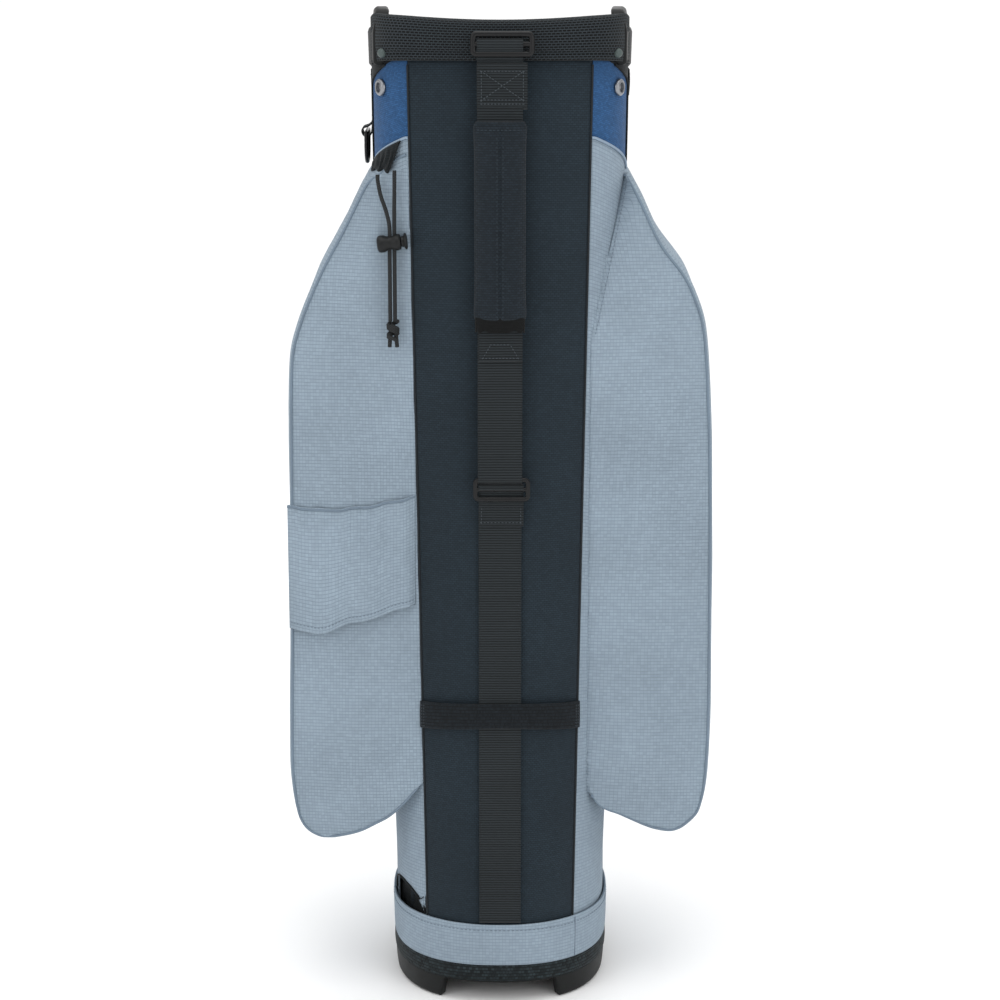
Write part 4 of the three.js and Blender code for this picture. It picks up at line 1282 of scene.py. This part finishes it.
def channel(u, v):
    """From the spine's edge outwards, with notches in its lower edge for the strands"""
    x = -85 - 27 * u - 9 * v * (1 - u)
    angle = atan2(rear_y(786, x), x)
    high = corner_line(angle) - 1.0
    low = 774.5 - 3.0 * u + 2.5 * cos(5 * pi * u)
    z = high + (low - high) * v
    pucker = 0.7 * sin(u * 34 + 3 * sin(4 * v)) * sin(pi * v)
    ax, ay = wall(z, 2.2 + 1.5 * sin(pi * v) ** 0.6 + pucker, angle)
    return ax, ay, z


thick(fit("cord_sleeve", mapped(30, 14, channel), black_cloth, slot="webbing",
          stands_for=["cord_channel"]), 1.5)

# ---------------------------------------------------------------- side pockets
# Each side pocket is a long cloth shell: a back panel sewn along the spine's edge, a gusset
# round the outside, and a front panel with an upright zip. It sags towards its foot.
POCKET_BACK, POCKET_FRONT, PIPING_IN = -86, 59, 4.2
outlines = {
    "left": [(60, 214), (72, 203), (86, 187), (100, 174), (114, 166), (128, 159), (145, 154),
             (159, 151), (169, 152), (181, 159), (189, 171), (193, 189), (195.5, 214), (196, 240),
             (195, 300), (194, 341), (192.5, 420), (192, 483), (191.5, 540), (191, 570),
             (189, 610), (182, 637), (172, 663), (159, 691), (141, 724), (129, 748),
             (119, 766), (106, 776), (88, 792), (60, 800)],
    "right": [(60, 214), (71, 208), (90, 181), (111, 172), (133, 163), (146, 159), (158, 157),
              (167, 159), (175, 164), (184, 173), (189, 183), (193, 204), (195.3, 240),
              (196, 283), (195.3, 360), (194.8, 420), (194, 474), (192.3, 530), (191, 560),
              (188, 610), (184, 640), (176, 664), (166, 684), (145, 712), (127, 749),
              (115, 769), (104, 777), (86, 790), (60, 796)],
}


def attach_x(side, z):
    """Where the back panel leaves the body: at the spine's edge, or along a fold higher up"""
    fold = 81 + 30 * max(0, min(1, (z - 628) / 143)) if side == "right" else 0
    return max(spine_half(max(60, z)) + 0.6, fold)


def reach_at(outline, z):
    """How far out the pocket's outline goes at a height"""
    found = [a[0] + (b[0] - a[0]) * (z - a[1]) / (b[1] - a[1])
             for a, b in zip(outline, outline[1:])
             if (a[1] - z) * (b[1] - z) <= 0 and a[1] != b[1]]
    return max(found, default=100)


def back_y(side, outline, x, z):
    """The back panel, stretched from the spine's edge to the outer seam"""
    start = attach_x(side, z)
    t = (x - start) / max(20, reach_at(outline, z) - start)
    if t < 0:
        return rear_y(z, max(0, x)) + 1.6
    t = min(1, t)
    first = rear_y(z, start) - 0.6
    tense = t * (1.35 - 0.35 * t)
    sag = 2.2 + 2.5 * exp(-((z - 240) / 90) ** 2)
    fold = 1.6 * exp(-((z - 700) / 60) ** 2) * sin(3 * pi * t) if side == "left" else 0
    return (first + (POCKET_BACK - first) * tense - sag * sin(pi * t)
            + fold * sin(pi * t) + ripple(x, 40, z, 38, 1.1) * sin(pi * t))


def square_to(run):
    """The way inwards from a run that goes round an upright outline"""
    return Vector((-run.z, 0, run.x)).normalized()


def pocket_loop(outline, step=3.0):
    """Even points along the outline, each with the direction inwards"""
    path = smooth_path([Vector((x, 0, z)) for x, z in outline], 10)
    length = sum((b - a).length for a, b in zip(path, path[1:]))
    count = int(length / step)
    evened, walked, target = [path[0]], 0.0, length / count
    for a, b in zip(path, path[1:]):
        span = (b - a).length
        while len(evened) < count and walked + span >= target * len(evened):
            evened.append(a + (b - a) * ((target * len(evened) - walked) / span))
        walked += span
    evened.append(path[-1])
    last = len(evened) - 1
    return [(p, square_to(evened[min(i + 1, last)] - evened[max(i - 1, 0)]))
            for i, p in enumerate(evened)]


def out_of_tube(x, y, z, sink=1.2):
    """Holds a point on the tube's wall, just under its cloth, if it would go inside"""
    z_wall = max(0, min(872, z))
    angle = atan2(y, x)
    wx, wy = wall(z_wall, -sink, angle)
    if x * x + y * y < wx * wx + wy * wy:
        return wx, wy, z
    return x, y, z


def lay_weave(bm, across):
    """Lays the weave square on a pocket's back, gusset and front alike"""
    weave = bm.loops.layers.uv["weave"]
    for face in bm.faces:
        for corner in face.loops:
            corner[weave].uv = across(corner.vert.co), corner.vert.co.z
    return bm


def shell(loop, rings, place, sign):
    """A closed shell lofted ring by ring: place(point, inwards, ring share) gives each point"""
    inner = [(loop[-1][0] + (loop[0][0] - loop[-1][0]) * i / 60, Vector((1, 0, 0)))
             for i in range(1, 60)]
    whole = loop + inner

    def spot(u, v):
        p, inwards = whole[round(u * len(whole)) % len(whole)]
        x, y, z = place(p, inwards, v)
        return sign * x, y, z
    return lay_weave(mapped(len(whole), rings, spot, wrap=True, wrap_up=True),
                     lambda co: abs(co.x) + co.y)


def side_pocket(side, sign):
    """One side pocket's shell, with piping along its two outer seams"""
    outline = outlines[side]
    loop = pocket_loop(outline)
    back_end, gusset_end = 0.36, 0.66

    def place(p, inwards, v):
        core = Vector((96, 0, max(250, min(700, p.z))))
        if v < back_end:
            k = (v / back_end) ** 0.8
            seam = p + inwards * PIPING_IN
            x, z = (core + (seam - core) * k).x, (core + (seam - core) * k).z
            y = back_y(side, outline, x, z)
            return out_of_tube(x, y, z) if x > attach_x(side, z) else (x, y, z)
        if v < gusset_end:
            t = (v - back_end) / 0.3
            seam = back_y(side, outline, p.x - 4, p.z)
            y = seam + (POCKET_FRONT - seam) * t
            bulge = 4.2 * (1 - min(1, sin(pi * t) * 3.2) ** 0.5)
            q = p + inwards * (bulge + 0.5 + ripple(p.x, y, p.z, 40, 1.3) * sin(pi * t))
            return out_of_tube(q.x, y, q.z)
        k = 1 - ((v - gusset_end) / 0.34) ** 1.25
        seam = p + inwards * PIPING_IN
        q = core + (seam - core) * k
        y = POCKET_FRONT + 0.4 + 0.6 * sin(pi * k) + ripple(q.x, 90, q.z, 40, 0.7) * sin(pi * k)
        return out_of_tube(q.x, y, q.z)

    fit(f"side_pouch_{side}", shell(loop, 64, place, sign), grey_cloth, slot="grey_cloth",
        stands_for=[f"side_pocket_{side}"], sharp=60)
    rear, front = [], []
    for p, inwards in loop:
        seam = p + inwards * 4.0
        y = back_y(side, outline, p.x - 4, p.z)
        if p.x > attach_x(side, p.z) + 1:
            rear.append(at(sign * seam.x, y - 0.3, seam.z))
        if seam.x > half_width(p.z) * 0.9:
            front.append(at(sign * seam.x, POCKET_FRONT + 0.3, seam.z))
    fit(f"pouch_piping_{side}", swept([rear, front], 1.15), seam_cloth, slot="grey_cloth")


seam_cloth = moulded("seam_cloth", tint(98, 112, 125), 0.85, grain=1500, depth=0.0002)
for side, (sign, start, stop) in SIDES.items():
    side_pocket(side, sign)

# The right pocket's fold along the body is topstitched.
fold_row = []
for z in spread(632, 762, 60):
    x = attach_x("right", z) + 3
    fold_row.append(at(x, back_y("right", outlines["right"], x, z) - 0.4, z))
stitched("fold_stitches", [fold_row], grey_thread, slot="grey_cloth", pitch=3.6, length=2.4)

# ---------------------------------------------------------------- umbrella sleeve
# A loose band of the grey cloth across the left pocket's back, gathered into a seam at its
# top and free at its foot, which an umbrella's shaft slides behind.
SLEEVE_LEFT, SLEEVE_RIGHT = 192.5, 76.5


def sleeve(u, v):
    """The band's face: held at both sides, pleated at its top and loose at its foot"""
    x = SLEEVE_LEFT + (SLEEVE_RIGHT - SLEEVE_LEFT) * u
    top = 470 + 2 * cos(u * 5) + 14 * max(0, u - 0.3) / 0.7 + 0.7 * sin(u * 25 + 1)
    foot = 357 - 3 * sin(pi * min(1, u * 2.2)) + 35 * max(0, u - 0.2) ** 1.3 + 0.9 * sin(u * 17)
    z = foot + (top - foot) * v
    ease = sin(pi * min(1, u / 0.12) / 2) * sin(pi * min(1, (1 - u) / 0.08) / 2)
    pleats = 1.3 * sin(u * 52 + 2.6 * sin(u * 11)) * exp(-(1 - v) * 5) * ease
    pleats += ripple(x, 5, z, 16, 1.5) * ease
    loose = (2.2 + 4.2 * (1 - v) ** 1.2) * ease + pleats
    loose *= 1 - 0.75 * exp(-(1 - v) * 40)
    y = back_y("left", outlines["left"], x, z) - 0.9 - max(0, loose)
    return -x, y, z


sleeve_cloth = fit("umbrella_band", mapped(120, 60, sleeve), grey_cloth, slot="grey_cloth",
                   stands_for=["umbrella_sleeve"])
thick(sleeve_cloth, 0.9)


def across_sleeve(start, stop, v, off):
    """A row across the sleeve at a share of its height, standing off its face"""
    return [at(x, y - off, z) for x, y, z in (sleeve(u, v) for u in spread(start, stop, 80))]


fit("band_gather", swept([across_sleeve(0, 1, 0.985, 0.5)], 0.9), seam_cloth,
    slot="grey_cloth")
stitched("band_hem_stitches", [across_sleeve(0.02, 0.98, 0.05, 0.3)], grey_thread,
         slot="grey_cloth", pitch=3.4, length=2.2)

# ---------------------------------------------------------------- front pockets
# Two hollow cloth pockets on the front panel: a ball pocket below, deeper and rounder, and
# an accessory pocket above, each with a gusset, piping and an upright zip.


def rounded_loop(half, low, high, radius, step=4.0):
    """Even points round an upright rounded rectangle, with the way inwards at each"""
    path = []
    side, head, foot = half - radius, high - radius, low + radius
    for cx, cz, start in ((side, head, 0), (-side, head, pi / 2), (-side, foot, pi),
                          (side, foot, pi * 1.5)):
        path += arc((cx, cz), radius, start, start + pi / 2, 12)
    path.append(path[0])
    dense = []
    for (ax, az), (bx, bz) in zip(path, path[1:]):
        count = max(1, round(((bx - ax) ** 2 + (bz - az) ** 2) ** 0.5 / step))
        dense += [Vector((ax + (bx - ax) * i / count, 0, az + (bz - az) * i / count))
                  for i in range(count)]
    return [(p, square_to(dense[(i + 1) % len(dense)] - dense[i - 1]))
            for i, p in enumerate(dense)]


def front_pocket(name, half, low, high, front, zip_x):
    """One front pocket's shell, piping and stitches"""
    loop = rounded_loop(half, low, high, 26)
    middle = (low + high) / 2
    reach = (high - low) / 2 - 40
    gusset_end = 0.55

    def face_y(x, z):
        """The front panel: nearly flat along its zip, softly rounded to its seams"""
        edge = max(0, min(1, (half - abs(x)) / 30, (z - low) / 40, (high - z) / 40))
        return front - 4.5 * (1 - edge) ** 2 + ripple(x, 300, z, 34, 0.5) * edge * (
            min(1, abs(x - zip_x) / 25))

    def spot(u, v):
        p, inwards = loop[round(u * len(loop)) % len(loop)]
        if v < gusset_end:
            t = v / gusset_end
            back = abs(rear_y(max(60, p.z), p.x)) - 3
            seam_y = face_y(p.x, p.z)
            y = back + (seam_y - back) * t
            bulge = 1.8 + 2.2 * (1 - min(1, sin(pi * min(1, 0.5 + t / 2)) * 3) ** 0.5)
            q = p + inwards * (bulge + ripple(p.x, y, p.z, 30, 0.8) * sin(pi * t))
            return out_of_tube(q.x, y, q.z)
        k = 1 - ((v - gusset_end) / 0.45) ** 1.1
        core = Vector((0, 0, max(middle - reach, min(middle + reach, p.z))))
        seam = p + inwards * 4
        q = core + (seam - core) * k
        return q.x, face_y(q.x, q.z), q.z

    def beside(inset, off):
        """The run of points a distance inside the outline, standing off the face"""
        return [at(q.x, face_y(q.x, q.z) + off, q.z) for q in (p + i * inset for p, i in loop)]

    bm = lay_weave(mapped(len(loop), 46, spot, wrap=True),
                   lambda co: co.x + co.y * (1 if co.x < 0 else -1))
    thick(fit(f"{name}_pouch", bm, grey_cloth, slot="grey_cloth",
              stands_for=[f"{name}_pocket"], sharp=60), 1.6)
    seam = [at((p + i * 4).x, face_y(p.x, p.z) + 0.3, (p + i * 4).z) for p, i in loop]
    fit(f"{name}_piping", swept([seam], 1.3, closed=True), seam_cloth, slot="grey_cloth")
    row = beside(9, 0.15)
    stitched(f"{name}_stitches", [row + row[:1]], grey_thread, slot="grey_cloth")


front_pocket("ball", 84, 92, 322, 185.6, 50)
front_pocket("accessory", 78, 352, 640, 171.7, 44)

# ---------------------------------------------------------------- zips
# Each zip is a woven tape with two rows of moulded teeth, a metal slider and a metal pull
# that hangs from the slider's loop.
tape_cloth = woven("tape_cloth", tint(38, 43, 47), tint(20, 23, 25), (1.4, 1.6), 0.5,
                   speckle=0.3)
tooth_plastic = moulded("tooth_plastic", tint(30, 33, 36), 0.35)
slider_metal = moulded("slider_metal", tint(120, 124, 128), 0.3, grain=700, wear=1.15,
                       metallic=1)
TOOTH_PITCH, WIRE_RADIUS = 2.6, 0.75


def add_plate(bm, outline, low, high):
    """Adds a flat plate, thick along Y, to a piece"""
    plate = prism(outline, low, high, "Y")
    mesh = bpy.data.meshes.new("plate")
    plate.to_mesh(mesh)
    plate.free()
    bm.from_mesh(mesh)


def zip_fastener(name, x, face, low, high):
    """A shut zip at x on a pocket's face, with its slider near its top"""
    def tape(u, v):
        bow = 0.25 * sin(pi * u) ** 0.5
        return x + (u - 0.5) * 24, face + 0.9 + bow, low - 6 + (high - low + 12) * v
    thick(fit(f"{name}_tape", mapped(14, 60, tape), tape_cloth, slot="webbing",
              stands_for=[f"{name}_zip"]), 0.8)
    teeth = bmesh.new()
    for i in range(int((high - low) / TOOTH_PITCH)):
        for hand in (-1, 1):
            z = low + i * TOOTH_PITCH + (0.5 + 0.25 * hand) * TOOTH_PITCH
            size = Matrix.Diagonal((3.1 * MM, 1.5 * MM, 1.05 * MM, 1))
            made = bmesh.ops.create_cube(teeth, size=1, matrix=Matrix.Translation(
                at(x + hand * 0.9, face + 1.75, z)) @ size)
            for v in made["verts"]:
                if v.co.y > (at(0, face + 1.75, 0)).y:
                    v.co.z = at(0, 0, z).z + (v.co.z - at(0, 0, z).z) * 0.7
    fit(f"{name}_teeth", teeth, tooth_plastic, slot="webbing")
    rows = [[at(x + dx, face + 1.25, z) for z in spread(low - 4, high + 4, 50)]
            for dx in (-9.5, 9.5)]
    stitched(f"{name}_zip_stitches", rows, grey_thread, slot="grey_cloth")

    top = high - 10
    outline = [(x - 3.2, top - 7), (x + 3.2, top - 7), (x + 5, top - 3), (x + 5, top + 5),
               (x + 3.4, top + 7), (x + 1.2, top + 5.2), (x - 1.2, top + 5.2), (x - 3.4, top + 7),
               (x - 5, top + 5), (x - 5, top - 3)]
    body = prism(outline, face + 2.7, face + 4.0, "Y")
    for hand in (-1, 1):
        wall_outline = [(x + hand * 5, top - 3), (x + hand * 5, top + 5),
                        (x + hand * 3.8, top + 5), (x + hand * 3.8, top - 4)]
        add_plate(body, wall_outline, face + 1.5, face + 3.2)
    bail = [(3.6, -3.4), (6.2, -3.2)] + arc((6.2, 0), 3.0, -pi / 2, pi / 2) + [(3.6, 3.4)]
    body.from_mesh(swept([[at(x, face + y, top + z) for y, z in bail]], WIRE_RADIUS))
    edged(fit(f"{name}_runner", body, slider_metal, f"{name}_slider", "zip_metal",
              [f"{name}_slider"]), 0.35)
    y = face + 7.1
    ring_path = [at(x + a, y, top + b) for a, b in (
        arc((0, -1.5), 2.6, 0.15, pi - 0.15, 8) + [(-2.6, -7.5), (2.6, -7.5)])]
    pull = bmesh.new()
    pull.from_mesh(swept([ring_path], WIRE_RADIUS, closed=True))
    plate_outline = ([(x - 3, top - 7), (x - 3.6, top - 12), (x - 3.6, top - 29)]
                     + [(x + a, top + b) for a, b in arc((0, -29), 3.6, pi, 2 * pi, 8)]
                     + [(x + 3.6, top - 12), (x + 3, top - 7)])
    add_plate(pull, plate_outline, y - 0.9, y + 0.9)
    edged(fit(f"{name}_puller", pull, slider_metal, f"{name}_pull", "zip_metal",
              [f"{name}_pull"]), 0.4)


zip_fastener("side_left", -158, 60, 250, 640)
zip_fastener("side_right", 158, 60, 250, 640)
zip_fastener("ball", 50, 185.9, 128, 286)
zip_fastener("accessory", 44, 172, 388, 604)

low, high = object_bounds()
